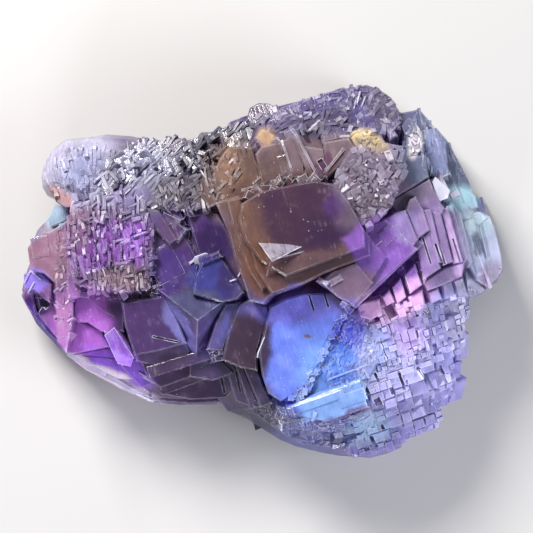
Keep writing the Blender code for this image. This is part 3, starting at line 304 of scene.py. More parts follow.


# Colour zones of the crystal, painted in this order: the middle and the radii on the cluster in
# millimetres, the turn in degrees, the colour in screen values, how strong it is, how soft its
# edge is, and "box" where it isn't an oval. The colours were typed one by one, and then brought
# near the photo's mean colour in the same place.
# Some zones hold painted glow, painted reflection or painted shade over the crystal's own colour;
# each is noted where it stands.
ZONES = [
    ("left_body", -28.2, -4.5, 13.1, 14.8, 0, (142, 99, 156), 0.9, 0.4),
    ("bottom_steps", -11.8, -17.6, 9.2, 4.6, 0, (79, 58, 88), 0.95, 0.3),
    ("middle_body", -2.8, -9.4, 9.8, 9.8, 0, (85, 74, 115), 0.9, 0.4),
    ("hump", -24.6, 6.0, 6.6, 6.6, 0, (138, 76, 174), 0.95, 0.25),
    ("hump_top", -26.6, 10.6, 5.6, 3.0, 10, (151, 129, 158), 0.85, 0.4),
    ("hump_left", -29.2, 7.6, 2.3, 4.3, 0, (149, 111, 140), 0.8, 0.4),
    ("hump_glow", -20.3, 5.3, 2.0, 3.0, 0, (186, 122, 232), 0.8, 0.5),
    ("hump_foot", -22.0, -1.1, 5.2, 2.0, 0, (133, 103, 113), 0.9, 0.35),
    ("pink_face", -35.1, 3.4, 3.9, 5.9, 0, (167, 124, 147), 0.95, 0.3),
    # orchid: painted magenta glow, as of light passing through the crystal.
    ("orchid", -27.9, -10.1, 7.2, 7.2, -20, (189, 110, 219), 0.95, 0.35),
    ("orchid_spark", -31.8, -7.8, 1.6, 4.3, 0, (185, 133, 174), 0.7, 0.5),
    ("mauve", -17.7, -8.1, 5.9, 5.2, 15, (78, 54, 104), 0.95, 0.15, "box"),
    ("violet_pane", -23.1, -12.2, 1.6, 3.3, 32, (146, 90, 210), 0.95, 0.12, "box"),
    # lilac_slope: painted lilac glow over the crystal's violet.
    ("lilac_slope", -23.5, -15.7, 5.9, 2.3, -28, (176, 118, 255), 0.95, 0.4),
    ("left_lip", -37.1, -1.4, 2.3, 2.3, 0, (160, 136, 245), 0.95, 0.3),
    # hollow: painted shade in the pit under the lip.
    ("hollow", -37.1, -5.2, 2.3, 1.6, 0, (65, 33, 99), 0.95, 0.3),
    ("left_edge", -35.4, -9.9, 5.6, 1.0, -50, (84, 50, 156), 0.95, 0.4),
    # The rim zone: a painted white-pink glow along the steep lower rim.
    ("painted_rim_light", -24.9, -17.3, 8.2, 1.3, -29, (255, 240, 255), 0.95, 0.35),
    ("lump", -29.5, 17.1, 8.2, 6.6, 0, (204, 200, 230), 0.95, 0.2),
    ("lump_blue", -28.5, 16.5, 3.9, 3.3, 0, (184, 190, 240), 0.75, 0.5),
    ("orange", -32.8, 12.2, 2.8, 1.3, -32, (214, 167, 160), 0.9, 0.4),
    ("ice", -34.3, 9.1, 2.5, 2.1, 20, (176, 204, 226), 0.95, 0.3),
    ("ice_foot", -37.4, 6.0, 1.6, 1.3, 45, (151, 153, 183), 0.8, 0.4),
    ("band", -14.8, 16.2, 12.1, 6.9, 8, (120, 115, 131), 0.95, 0.25),
    ("band_light", -18.7, 16.5, 4.3, 4.3, 0, (162, 164, 192), 0.85, 0.45),
    ("band_dark", -6.9, 20.4, 7.9, 2.6, 28, (62, 58, 74), 0.9, 0.4),
    ("band_brown", -12.1, 12.9, 6.2, 2.6, -8, (86, 74, 86), 0.85, 0.45),
    ("band_lilac", -21.3, 12.2, 3.6, 2.0, 10, (146, 133, 181), 0.8, 0.45),
    # valley, valley_dark and valley_deep: the valley's violet with painted shade, darkest in its
    # narrow gap.
    ("valley", -10.8, 5.3, 7.2, 4.9, -20, (83, 54, 115), 0.95, 0.3),
    ("valley_lilac", -14.8, 6.0, 2.0, 2.6, 40, (110, 85, 122), 0.8, 0.4),
    ("valley_dark", -13.8, 8.3, 3.3, 0.7, -40, (70, 50, 90), 0.9, 0.5),
    ("valley_deep", -8.2, 4.7, 2.6, 3.3, -30, (54, 33, 88), 0.8, 0.45),
    ("indigo", -14.8, 0.1, 3.0, 3.9, -10, (78, 54, 128), 0.9, 0.35),
    ("blue_cube", -7.9, -1.2, 4.3, 3.6, -10, (66, 68, 146), 0.95, 0.25),
    ("blue_right", -4.6, 1.7, 1.5, 5.6, -18, (64, 50, 104), 0.9, 0.3, "box"),
    ("twin_top", -10.5, -5.0, 4.9, 2.1, -4, (84, 84, 122), 0.95, 0.2),
    ("twin_left", -13.1, -8.8, 1.3, 4.3, 28, (132, 126, 196), 0.95, 0.3),
    ("twin_right", -8.9, -10.1, 2.0, 3.6, 0, (112, 96, 160), 0.9, 0.35),
    ("twin_blue", -5.9, -8.4, 1.1, 3.0, -18, (94, 94, 167), 0.85, 0.4),
    ("brown_blue", -3.9, -5.8, 2.1, 1.6, 0, (83, 77, 131), 0.8, 0.4),
    ("grey_foot", 1.3, -24.5, 7.5, 5.6, -24, (54, 54, 84), 0.95, 0.3),
    ("grey_slats", -2.6, -18.3, 3.9, 3.6, 0, (95, 83, 113), 0.85, 0.4),
    ("top_middle", 8.2, 17.6, 8.5, 5.9, 5, (142, 119, 124), 0.95, 0.25),
    ("amber_top", -4.3, 14.8, 5.6, 6.6, 0, (126, 99, 86), 0.95, 0.3),
    ("amber_cube", 7.1, 7.3, 10.5, 8.5, 17, (110, 79, 70), 0.97, 0.1, "box"),
    ("amber_left", -2.1, 6.6, 3.1, 8.2, 8, (120, 88, 74), 0.9, 0.35),
    ("amber_glow", 0.0, 0.7, 3.3, 3.6, 0, (120, 81, 60), 0.85, 0.45),
    ("amber_shade", 1.6, 17.1, 2.3, 2.6, 0, (110, 85, 79), 0.7, 0.5),
    ("core", 7.2, 8.9, 7.2, 5.6, 17, (74, 49, 70), 0.95, 0.25, "box"),
    ("core_violet", 12.5, 9.9, 2.1, 3.6, 20, (84, 54, 108), 0.9, 0.4),
    ("core_dark", 9.8, 6.3, 3.3, 2.6, 17, (60, 38, 67), 0.8, 0.5),
    ("lower_band", 9.8, 1.7, 9.2, 1.5, 17, (106, 81, 85), 0.85, 0.35, "box"),
    ("under_band", 11.2, -0.6, 7.2, 0.7, 17, (150, 120, 146), 0.8, 0.4),
    ("gold", 17.2, 20.7, 3.1, 1.6, -22, (255, 228, 160), 0.97, 0.3),
    ("gold_nib", 0.7, 21.6, 1.5, 1.8, 0, (226, 184, 138), 0.9, 0.4),
    ("nib", -0.7, 26.2, 2.5, 2.0, 10, (98, 82, 108), 0.9, 0.3),
    ("ridge", 12.5, 26.3, 10.8, 4.3, 12, (106, 97, 133), 0.95, 0.25),
    ("ridge_violet", 9.8, 27.6, 5.6, 1.5, 17, (95, 83, 138), 0.85, 0.4),
    ("ridge_violet_2", 16.4, 25.7, 2.6, 2.0, 17, (92, 81, 140), 0.8, 0.4),
    ("ridge_right", 20.3, 26.7, 3.0, 3.3, -30, (98, 88, 112), 0.85, 0.4),
    ("amber_crinkle", -5.2, 16.5, 1.8, 3.6, 0, (170, 130, 104), 0.7, 0.5),
    ("dark_chip", 8.2, 23.2, 2.0, 1.3, 10, (110, 100, 118), 0.85, 0.4),
    ("eye", 9.5, 17.3, 1.0, 1.8, -10, (110, 76, 98), 0.9, 0.3),
    ("rough", 17.4, 14.8, 5.9, 5.9, 0, (138, 122, 142), 0.95, 0.25),
    ("rough_foot", 17.1, 9.9, 4.9, 2.3, 25, (111, 94, 108), 0.9, 0.4),
    ("shoulder", 29.2, 18.8, 7.2, 8.9, 28, (116, 124, 152), 0.95, 0.2),
    ("shoulder_navy", 27.9, 18.8, 1.8, 3.9, 8, (170, 178, 224), 0.85, 0.4),
    # shoulder_aqua: painted aqua highlight.
    ("shoulder_aqua", 32.8, 12.2, 3.3, 2.3, 0, (196, 240, 255), 0.9, 0.4),
    ("white_chip_1", 24.4, 20.7, 1.1, 2.8, -8, (236, 228, 232), 0.95, 0.3),
    ("white_chip_2", 28.5, 13.2, 1.6, 1.8, 30, (250, 250, 255), 0.95, 0.3),
    ("white_chip_3", 31.2, 12.5, 1.1, 0.8, 10, (240, 252, 255), 0.9, 0.3),
    ("prisms", 36.1, 3.7, 4.6, 6.9, 12, (200, 206, 240), 0.95, 0.25),
    # prism_aqua: painted aqua highlight.
    ("prism_aqua", 35.1, 8.0, 3.3, 2.0, -10, (214, 240, 252), 0.85, 0.4),
    ("prism_dark", 34.9, 5.0, 1.0, 2.0, 28, (88, 102, 130), 0.9, 0.3),
    ("prism_pink", 38.0, -0.6, 3.0, 2.3, 20, (146, 112, 158), 0.85, 0.5),
    # dome, dome_white and dome_low: painted blue-white reflection over the crystal's own lilac.
    ("dome", 26.6, -15.3, 8.9, 13.8, -12, (190, 184, 255), 0.95, 0.2),
    ("dome_pink", 23.0, -10.1, 3.9, 3.3, 20, (206, 162, 255), 0.8, 0.5),
    ("dome_white", 32.0, -8.1, 2.1, 4.6, 8, (222, 212, 255), 0.95, 0.5),
    ("dome_low", 22.0, -25.8, 9.2, 4.9, 22, (150, 140, 208), 0.85, 0.4),
    # periwinkle: painted blue reflection over the blue crystal.
    ("periwinkle", 6.9, -12.7, 7.1, 9.8, 0, (122, 146, 255), 0.97, 0.2),
    ("blue_top", 6.2, -5.2, 7.2, 2.6, 8, (140, 132, 238), 0.85, 0.4),
    ("cyan", 9.2, -15.3, 3.9, 4.3, 0, (130, 175, 255), 0.85, 0.5),
    ("foot_low", 11.2, -26.5, 9.8, 3.6, 8, (96, 102, 168), 0.9, 0.35),
    ("electric", 14.1, -9.1, 2.6, 4.3, -24, (70, 78, 222), 0.95, 0.3),
    ("electric_low", 12.8, -15.0, 3.6, 3.6, 10, (94, 148, 255), 0.85, 0.45),
    ("slope", 18.0, -12.7, 3.0, 4.3, -20, (168, 184, 255), 0.8, 0.45),
    ("pink_dome", 21.3, -4.2, 6.6, 3.3, 22, (255, 196, 255), 0.95, 0.35),
    ("brown_cube", -2.3, -11.4, 3.6, 4.6, -10, (70, 52, 68), 0.95, 0.2, "box"),
    ("foot_slab", 11.8, -20.3, 5.9, 2.3, 18, (146, 186, 255), 0.95, 0.15, "box"),
    ("foot_glint", 17.1, -25.2, 3.6, 2.6, 20, (180, 214, 255), 0.8, 0.5),
    ("violet_cube", 19.7, 3.0, 4.9, 5.6, 30, (150, 104, 196), 0.97, 0.12, "box"),
    ("violet_left", 18.4, 6.0, 2.0, 3.0, 30, (126, 84, 166), 0.8, 0.3, "box"),
    ("lilac_corner", 23.0, 7.3, 2.3, 2.8, 35, (162, 140, 198), 0.85, 0.3),
    ("brown_plate", 14.4, -1.9, 4.3, 2.0, 22, (130, 104, 124), 0.9, 0.3),
    ("grey_plate", 24.6, 12.5, 4.6, 2.0, 16, (140, 122, 152), 0.95, 0.2, "box"),
    ("strips", 28.5, 4.7, 4.3, 6.9, 14, (170, 142, 196), 0.9, 0.3),
    ("strip_pink", 30.8, 3.7, 0.8, 4.9, 14, (240, 200, 255), 0.75, 0.4),
    ("tan_speck", 26.4, -6.5, 0.8, 0.7, 20, (104, 92, 124), 0.8, 0.5),
    ("ochre_speck", 7.7, -10.2, 0.5, 0.3, 0, (133, 106, 79), 0.9, 0.3),
]


class ClusterSizes(bpy.types.PropertyGroup):
    """Sizes of the fine growth."""

    mosaic_small: bpy.props.FloatProperty(
        name="Smallest block", description="Smallest side of a mosaic block",
        default=0.8 * MM, min=0.2 * MM, unit="LENGTH", precision=5,
    )
    mosaic_large: bpy.props.FloatProperty(
        name="Largest block", description="Largest side of a mosaic block",
        default=3.0 * MM, min=0.5 * MM, unit="LENGTH", precision=5,
    )
    mosaic_step: bpy.props.FloatProperty(
        name="Step", description="Most that a mosaic block stands above its neighbour",
        default=0.45 * MM, min=0, unit="LENGTH", precision=5,
    )
    ridge_spacing: bpy.props.FloatProperty(
        name="Ridge spacing", description="Distance between the fine ridges of the lump",
        default=0.72 * MM, min=0.2 * MM, unit="LENGTH", precision=5,
    )


class ClusterColours(bpy.types.PropertyGroup):
    """Colours that the whole crystal shares."""

    ground: bpy.props.FloatVectorProperty(
        name="Ground", description="Colour between the growth zones",
        subtype="COLOR", size=4, min=0, max=1, default=srgb(124, 108, 153),
    )
    depth: bpy.props.FloatVectorProperty(
        name="Depth", description="Colour that thick crystal takes",
        subtype="COLOR", size=4, min=0, max=1, default=srgb(196, 160, 240),
    )
    floor: bpy.props.FloatVectorProperty(
        name="Floor", description="Colour of the studio floor",
        subtype="COLOR", size=4, min=0, max=1, default=srgb(148, 146, 145),
    )


def deselect_all():
    for obj in bpy.context.selected_objects:
        obj.select_set(False)


def activate(obj):
    """Makes an object the only selected one, and the active one."""
    deselect_all()
    obj.select_set(True)
    bpy.context.view_layer.objects.active = obj


def collection(name):
    """The collection with this name, made when it isn't there yet."""
    found = bpy.data.collections.get(name)
    if found is None:
        found = bpy.data.collections.new(name)
        bpy.context.scene.collection.children.link(found)
    return found


def put_in(obj, name):
    """Moves an object to a collection of its own kind."""
    for home in list(obj.users_collection):
        home.objects.unlink(obj)
    collection(name).objects.link(obj)


def template(kind):
    """A unit block or shard with its top at zero and its top edges bevelled."""
    deselect_all()
    bpy.ops.mesh.primitive_cube_add(size=1.0, location=(0, 0, -0.5))
    shape = bpy.context.object
    bpy.ops.object.transform_apply(location=True, rotation=False, scale=False)
    bpy.ops.object.mode_set(mode="EDIT")
    bpy.ops.mesh.select_all(action="DESELECT")
    bpy.ops.mesh.select_mode(type="FACE")
    bpy.ops.object.mode_set(mode="OBJECT")
    for polygon in shape.data.polygons:
        polygon.select = polygon.normal.z > 0.9
    bpy.ops.object.mode_set(mode="EDIT")
    bpy.ops.mesh.bevel(offset=TOP_BEVELS[kind], segments=1, affect="EDGES")
    bpy.ops.object.mode_set(mode="OBJECT")
    return shape


def copy_of(shape, name, matrix, tone=MIDDLE_TONE, etched=0, home=GROWTH):
    """Puts a copy of a shape, with its own mesh, at a place, with a tone for its faces."""
    data = shape.data.copy()
    data.transform(matrix)
    data.materials.clear()
    data.materials.append(tone_marker(tone, etched))
    collection(home).objects.link(bpy.data.objects.new(name, data))


def tone_marker(tone, etched=0):
    """A plain material that carries a block's tone through the join, in steps."""
    step = round(min(LIGHTEST, tone) * TONE_STEPS)
    name = f"tone_{step}_{etched}"
    return bpy.data.materials.get(name) or bpy.data.materials.new(name)


def inside(point, outline):
    """Whether a point lies inside an outline, both in millimetres."""
    x, y = point
    hit = False
    for (x0, y0), (x1, y1) in zip(outline, outline[1:] + outline[:1]):
        if (y0 > y) != (y1 > y) and x < (x1 - x0) * (y - y0) / (y1 - y0) + x0:
            hit = not hit
    return hit


def box_of(outline):
    xs, ys = zip(*outline)
    return min(xs), max(xs), min(ys), max(ys)


class Surface:
    """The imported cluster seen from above, to stand new growth on."""

    def __init__(self):
        mesh = FRAME["nodes"][CAD_NODE].data
        points = [vert.co.copy() for vert in mesh.vertices]
        faces = [tuple(polygon.vertices) for polygon in mesh.polygons]
        self.tree = BVHTree.FromPolygons(points, faces)

    def at(self, x, y):
        """The highest point at a place given in millimetres, and its normal."""
        start = Vector((x * MM, y * MM, 1.0))
        hit, normal, _, _ = self.tree.ray_cast(start, Vector((0, 0, -1)))
        return hit, normal

    def higher_side(self, x, y):
        """The second highest point close round a place, in metres."""
        near = ((0, 0), (1.5, 0), (-1.5, 0), (0, 1.5), (0, -1.5))
        heights = [self.at(x + dx, y + dy)[0] for dx, dy in near]
        return sorted(hit.z for hit in heights if hit is not None)[-2]


def lying(place, normal, turn, size, upright=0.0):
    """A matrix that lays a unit shape on a face: size in metres, turn in degrees from +X."""
    up = (normal * (1 - upright) + Vector((0, 0, 1)) * upright).normalized()
    tilt = Vector((0, 0, 1)).rotation_difference(up).to_matrix().to_4x4()
    spin = Matrix.Rotation(math.radians(turn), 4, "Z")
    return Matrix.Translation(place) @ tilt @ spin @ Matrix.Diagonal((*size, 1))


def split(cell, smallest, largest, stretch, whole, rng):
    """Splits a rectangle at random until its sides are small enough. All in metres."""
    u0, v0, u1, v1 = cell
    wide, long = u1 - u0, v1 - v0
    limit_v = smallest * 1.3 + (largest - smallest * 1.3) * rng.random() ** 1.6
    limit_u = limit_v * rng.uniform(*stretch)
    smaller = max(wide, long) < smallest * 1.6
    if smaller or (wide <= limit_u and long <= limit_v and whole(cell)):
        return [cell]
    share = rng.uniform(0.35, 0.65)
    if wide / limit_u > long / limit_v:
        middle = u0 + wide * share
        halves = ((u0, v0, middle, v1), (middle, v0, u1, v1))
    else:
        middle = v0 + long * share
        halves = ((u0, v0, u1, middle), (u0, middle, u1, v1))
    rules = (smallest, largest, stretch, whole, rng)
    return [part for half in halves for part in split(half, *rules)]


class FLUORITE_OT_mosaic(bpy.types.Operator):
    """Covers the dome with small stepped blocks along the lattice"""

    bl_idname = "fluorite.mosaic"
    bl_label = "Mosaic blocks"

    def execute(self, context):
        surface = Surface()
        block = template("block")
        sizes = context.scene.cluster_sizes
        for seed, (name, part) in enumerate(MOSAIC.items(), 21):
            self.cover(block, surface, name, part, sizes, random.Random(seed))
        bpy.data.objects.remove(block)
        return {"FINISHED"}

    def cover(self, block, surface, name, part, sizes, rng):
        outline, growth, stretch = part
        x0, x1, y0, y1 = box_of(outline)
        middle = Vector(((x0 + x1) / 2, (y0 + y1) / 2)) * MM
        reach = math.hypot(x1 - x0, y1 - y0) / 2 * MM
        turn = Matrix.Rotation(math.radians(LATTICE_TURN), 2)

        def place_of(u, v):
            return middle + turn @ Vector((u, v))

        def whole(cell):
            """Whether a cell lies wholly inside or wholly outside the outline."""
            corners = ((0, 1), (0, 3), (2, 1), (2, 3))
            hits = [inside(place_of(cell[i], cell[j]) / MM, outline) for i, j in corners]
            return all(hits) or not any(hits)

        smallest, largest = sizes.mosaic_small * growth, sizes.mosaic_large * growth
        cells = split((-reach, -reach, reach, reach), smallest, largest, stretch, whole, rng)
        for number, (u0, v0, u1, v1) in enumerate(cells):
            place = place_of((u0 + u1) / 2, (v0 + v1) / 2)
            step = rng.uniform(-0.2, 1.0) * sizes.mosaic_step
            gap = rng.choice((0.0, 0.0, 0.0, 0.1)) * MM
            tone = rng.uniform(0.62, 1.15)
            if not inside(place / MM, outline):
                continue
            hit, normal = surface.at(*(place / MM))
            if hit is None or normal.z < 0.25:
                continue
            size = (u1 - u0 - gap, v1 - v0 - gap, 3.5 * MM)
            up = self.smooth_normal(surface, place / MM)
            matrix = lying(hit + up * step, up, LATTICE_TURN, size, upright=0.4)
            copy_of(block, f"{name}_{number}", matrix, tone)

    def smooth_normal(self, surface, place):
        """The mean normal of the dome round a place."""
        total = Vector((0, 0, 0.6))
        for dx, dy in ((0, 0), (1.6, 0), (-1.6, 0), (0, 1.6), (0, -1.6)):
            hit, normal = surface.at(place[0] + dx, place[1] + dy)
            if hit is not None and normal.z > 0.3:
                total += normal
        return total.normalized()


class FLUORITE_OT_etched(bpy.types.Operator):
    """Lays sharp etched shards and grains over the rough patches"""

    bl_idname = "fluorite.etched"
    bl_label = "Etched shards"

    def execute(self, context):
        surface = Surface()
        shapes = {kind: template(kind) for kind in ("shard", "block")}
        for seed, (name, patch) in enumerate(ETCHED.items(), 31):
            self.lay(shapes[patch[1]], surface, name, patch, random.Random(seed))
        for shape in shapes.values():
            bpy.data.objects.remove(shape)
        return {"FINISHED"}

    def lay(self, shard, surface, name, patch, rng):
        outline, _, spacing, widths, lengths, bearings, spread, rises, nod = patch
        x0, x1, y0, y1 = box_of(outline)
        rows, columns = int((y1 - y0) / spacing) + 1, int((x1 - x0) / spacing) + 1
        for row in range(rows):
            for column in range(columns):
                x = x0 + (column + rng.uniform(0.15, 0.85)) * spacing
                y = y0 + (row + rng.uniform(0, 1)) * spacing
                size = (rng.uniform(*lengths) * MM, rng.uniform(*widths) * MM, 2.2 * MM)
                bearing = rng.choice(bearings) + rng.gauss(0, spread)
                rise, tone = rng.uniform(*rises) * MM, rng.uniform(0, 1.12)
                lean = Vector((rng.uniform(-nod, nod), rng.uniform(-nod, nod), 0))
                hit, normal = surface.at(x, y)
                if hit is None or normal.z < 0.2 or not inside((x, y), outline):
                    continue
                up = (normal + lean).normalized()
                matrix = lying(hit + up * rise, up, bearing, size)
                copy_of(shard, f"{name}_{row}_{column}", matrix, tone, etched=1)


class FLUORITE_OT_rubble(bpy.types.Operator):
    """Fills the deeper gaps between crystals with small broken blocks"""

    bl_idname = "fluorite.rubble"
    bl_label = "Rubble in gaps"

    def execute(self, context):
        surface = Surface()
        block = template("block")
        rng = random.Random(52)
        for name, (outline, spacing, sizes, drops, slant) in FILLED_GAPS.items():
            x0, x1, y0, y1 = box_of(outline)
            for row in range(int((y1 - y0) / spacing) + 1):
                for column in range(int((x1 - x0) / spacing) + 1):
                    x = x0 + (column + rng.uniform(0, 1)) * spacing
                    y = y0 + (row + rng.uniform(0, 1)) * spacing
                    size = (rng.uniform(*sizes) * MM, rng.uniform(*sizes) * MM, 9 * MM)
                    drop, bearing = rng.uniform(*drops) * MM, rng.uniform(0, 90)
                    lean = Vector((rng.uniform(-slant, slant), rng.uniform(-slant, slant), 1))
                    tone = rng.uniform(0.1, 0.9)
                    if not inside((x, y), outline):
                        continue
                    top = surface.higher_side(x, y) - drop
                    place = Vector((x * MM, y * MM, top))
                    matrix = lying(place, lean.normalized(), bearing, size)
                    copy_of(block, f"{name}_{row}_{column}", matrix, tone)
        bpy.data.objects.remove(block)
        return {"FINISHED"}


class FLUORITE_OT_splinters(bpy.types.Operator):
    """Adds the single bright splinters and thin crystal edges"""

    bl_idname = "fluorite.splinters"
    bl_label = "Bright splinters"

    def execute(self, context):
        surface = Surface()
        shard = template("shard")
        for number, (x, y, length, width, bearing, rise, tone) in enumerate(SPLINTERS):
            hit, normal = surface.at(x, y)
            up = (normal + Vector((0, 0, 0.5))).normalized()
            size = (length * MM, width * MM, 2.5 * MM)
            matrix = lying(hit + up * rise * MM, up, bearing, size)
            copy_of(shard, f"splinter_{number}", matrix, tone)
        bpy.data.objects.remove(shard)
        return {"FINISHED"}


class FLUORITE_OT_facets(bpy.types.Operator):
    """Lays crisp flat facets on the faces"""

    bl_idname = "fluorite.facets"
    bl_label = "Crisp facets"

    def execute(self, context):
        surface = Surface()
        for name, (outline, rise, tone) in FACETS.items():
            deselect_all()
            bpy.ops.mesh.primitive_circle_add(vertices=len(outline), fill_type="NGON")
            facet = bpy.context.object
            facet.name = name
            corners = sorted(outline, key=lambda corner: self.bearing(corner, outline))
            middle = [sum(values) / len(outline) for values in zip(*outline)]
            hit, normal = surface.at(*middle)
            for vert, (x, y) in zip(facet.data.vertices, corners):
                along = Vector((x * MM - hit.x, y * MM - hit.y))
                drop = (along.x * normal.x + along.y * normal.y) / normal.z
                vert.co = (x * MM, y * MM, hit.z - drop + rise * MM)
            bpy.ops.object.mode_set(mode="EDIT")
            bpy.ops.mesh.select_all(action="SELECT")
            bpy.ops.mesh.extrude_region_move(TRANSFORM_OT_translate={"value": (0, 0, -2.5 * MM)})
            bpy.ops.mesh.select_all(action="SELECT")
            bpy.ops.mesh.normals_make_consistent(inside=False)
            bpy.ops.object.mode_set(mode="OBJECT")
            facet.data.materials.append(tone_marker(tone))
            put_in(facet, GROWTH)
        return {"FINISHED"}

    def bearing(self, corner, outline):
        """The direction of a corner from the middle of its outline."""
        middle = [sum(values) / len(outline) for values in zip(*outline)]
        return math.atan2(corner[1] - middle[1], corner[0] - middle[0])


class FLUORITE_OT_lump_ridges(bpy.types.Operator):
    """Adds the fine ridges that run over the rounded lump"""

    bl_idname = "fluorite.lump_ridges"
    bl_label = "Lump ridges"

    def execute(self, context):
        spacing = context.scene.cluster_sizes.ridge_spacing / MM
        surface = Surface()
        shard = template("shard")
        rng = random.Random(45)
        columns = int(2 * LUMP_RADII[0] / spacing)
        rows = int(2 * LUMP_RADII[1] / (spacing * 1.7))
        for column in range(columns):
            for row in range(rows):
                x = (column + rng.uniform(0.2, 0.8)) * spacing - LUMP_RADII[0]
                y = (row + rng.uniform(0, 1)) * spacing * 1.7 - LUMP_RADII[1]
                out = math.hypot(x / LUMP_RADII[0], y / LUMP_RADII[1])
                size = (rng.uniform(1.0, 2.6) * MM, rng.uniform(0.4, 0.8) * MM, 1.5 * MM)
                bearing = 98 - 3.0 * x + rng.gauss(0, 8)
                rise, tone = rng.uniform(0.02, 0.2) * MM, rng.uniform(0.1, 1.15)
                lean = Vector((rng.uniform(-0.25, 0.25), rng.uniform(-0.1, 0.1), 0))
                hit, normal = surface.at(LUMP_MIDDLE[0] + x, LUMP_MIDDLE[1] + y)
                if out > 1 or hit is None or normal.z < 0.2:
                    continue
                up = (normal + lean).normalized()
                matrix = lying(hit + up * rise, up, bearing, size)
                copy_of(shard, f"lump_{column}_{row}", matrix, tone)
        bpy.data.objects.remove(shard)
        return {"FINISHED"}


class FLUORITE_OT_growth_plates(bpy.types.Operator):
    """Lays thin growth plates on the larger faces"""

    bl_idname = "fluorite.growth_plates"
    bl_label = "Growth plates"

    def execute(self, context):
        surface = Surface()
        block = template("block")
        for number, (x, y, width, length, turn, rise) in enumerate(GROWTH_PLATES):
            hit, normal = surface.at(x, y)
            size = (width * MM, length * MM, 1.2 * MM)
            matrix = lying(hit + normal * rise * MM, normal, LATTICE_TURN + turn, size)
            copy_of(block, f"growth_plate_{number}", matrix)
        bpy.data.objects.remove(block)
        return {"FINISHED"}


class FLUORITE_OT_slots(bpy.types.Operator):
    """Marks the slots and pits that are cut between blocks"""

    bl_idname = "fluorite.slots"
    bl_label = "Slots and pits"

    def execute(self, context):
        surface = Surface()
        deselect_all()
        bpy.ops.mesh.primitive_cube_add(size=1.0)
        cutter = bpy.context.object
        for number, (x, y, width, length, turn, depth) in enumerate(SLOTS):
            hit, normal = surface.at(x, y)
            up = (normal + Vector((0, 0, 0.5))).normalized()
            size = (width * MM, length * MM, 4.0 * MM)
            matrix = lying(hit + up * (2.0 - depth) * MM, up, LATTICE_TURN + turn, size)
            copy_of(cutter, f"slot_{number}", matrix, tone=0.0, home=PITS)
        bpy.data.objects.remove(cutter)
        return {"FINISHED"}


class FLUORITE_OT_cluster(bpy.types.Operator):
    """Joins the fine growth to the cluster, cuts the slots and gives it its crystal"""

    bl_idname = "fluorite.cluster"
    bl_label = "Cluster"

    def execute(self, context):
        piece = self.merged_copy(FRAME["nodes"][CAD_NODE])
        self.boolean(piece, "UNION", GROWTH)
        self.boolean(piece, "DIFFERENCE", PITS)
        piece = self.keep_largest(piece)
        self.write_tones(piece)
        piece.data.materials.clear()
        piece.data.materials.append(fluorite(context.scene.cluster_colours))
        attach(piece, "root")
        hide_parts(CAD_NODE)
        print("cluster triangles", sum(len(p.vertices) - 2 for p in piece.data.polygons))
        return {"FINISHED"}

    def merged_copy(self, node):
        """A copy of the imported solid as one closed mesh."""
        piece = bpy.data.objects.new(PIECE, node.data.copy())
        bpy.context.scene.collection.objects.link(piece)
        activate(piece)
        bpy.ops.object.mode_set(mode="EDIT")
        bpy.ops.mesh.select_all(action="SELECT")
        bpy.ops.mesh.remove_doubles(threshold=0.0002 * MM)
        bpy.ops.mesh.normals_make_consistent(inside=False)
        bpy.ops.object.mode_set(mode="OBJECT")
        piece.data.materials.clear()
        piece.data.materials.append(tone_marker(MIDDLE_TONE))
        return piece

    def boolean(self, piece, operation, home):
        activate(piece)
        modifier = piece.modifiers.new(home, "BOOLEAN")
        modifier.operation = operation
        modifier.solver = "MANIFOLD"
        modifier.material_mode = "TRANSFER"
        modifier.operand_type = "COLLECTION"
        modifier.collection = collection(home)
        bpy.ops.object.modifier_apply(modifier=modifier.name)
        for shape in list(collection(home).objects):
            bpy.data.objects.remove(shape)
        bpy.data.collections.remove(collection(home))

    def keep_largest(self, piece):
        """Drops hollows that closed inside the crystal, and crumbs that a slot cut loose."""
        activate(piece)
        bpy.ops.object.mode_set(mode="EDIT")
        bpy.ops.mesh.separate(type="LOOSE")
        bpy.ops.object.mode_set(mode="OBJECT")
        shells = list(bpy.context.selected_objects)
        largest = max(shells, key=lambda shell: len(shell.data.vertices))
        for shell in shells:
            if shell is not largest:
                bpy.data.objects.remove(shell)
        largest.name = PIECE
        return largest

    def write_tones(self, piece):
        """Turns the tone markers into face attributes that the material reads."""
        mesh = piece.data
        marks = [mark.name.split("_")[1:] for mark in mesh.materials]
        tones = [(int(step) / TONE_STEPS, float(etched)) for step, etched in marks]
        for number, name in enumerate((TONE, ETCH)):
            values = [tones[polygon.material_index][number] for polygon in mesh.polygons]
            mesh.attributes.new(name, "FLOAT", "FACE").data.foreach_set("value", values)
        for polygon in mesh.polygons:
            polygon.material_index = 0


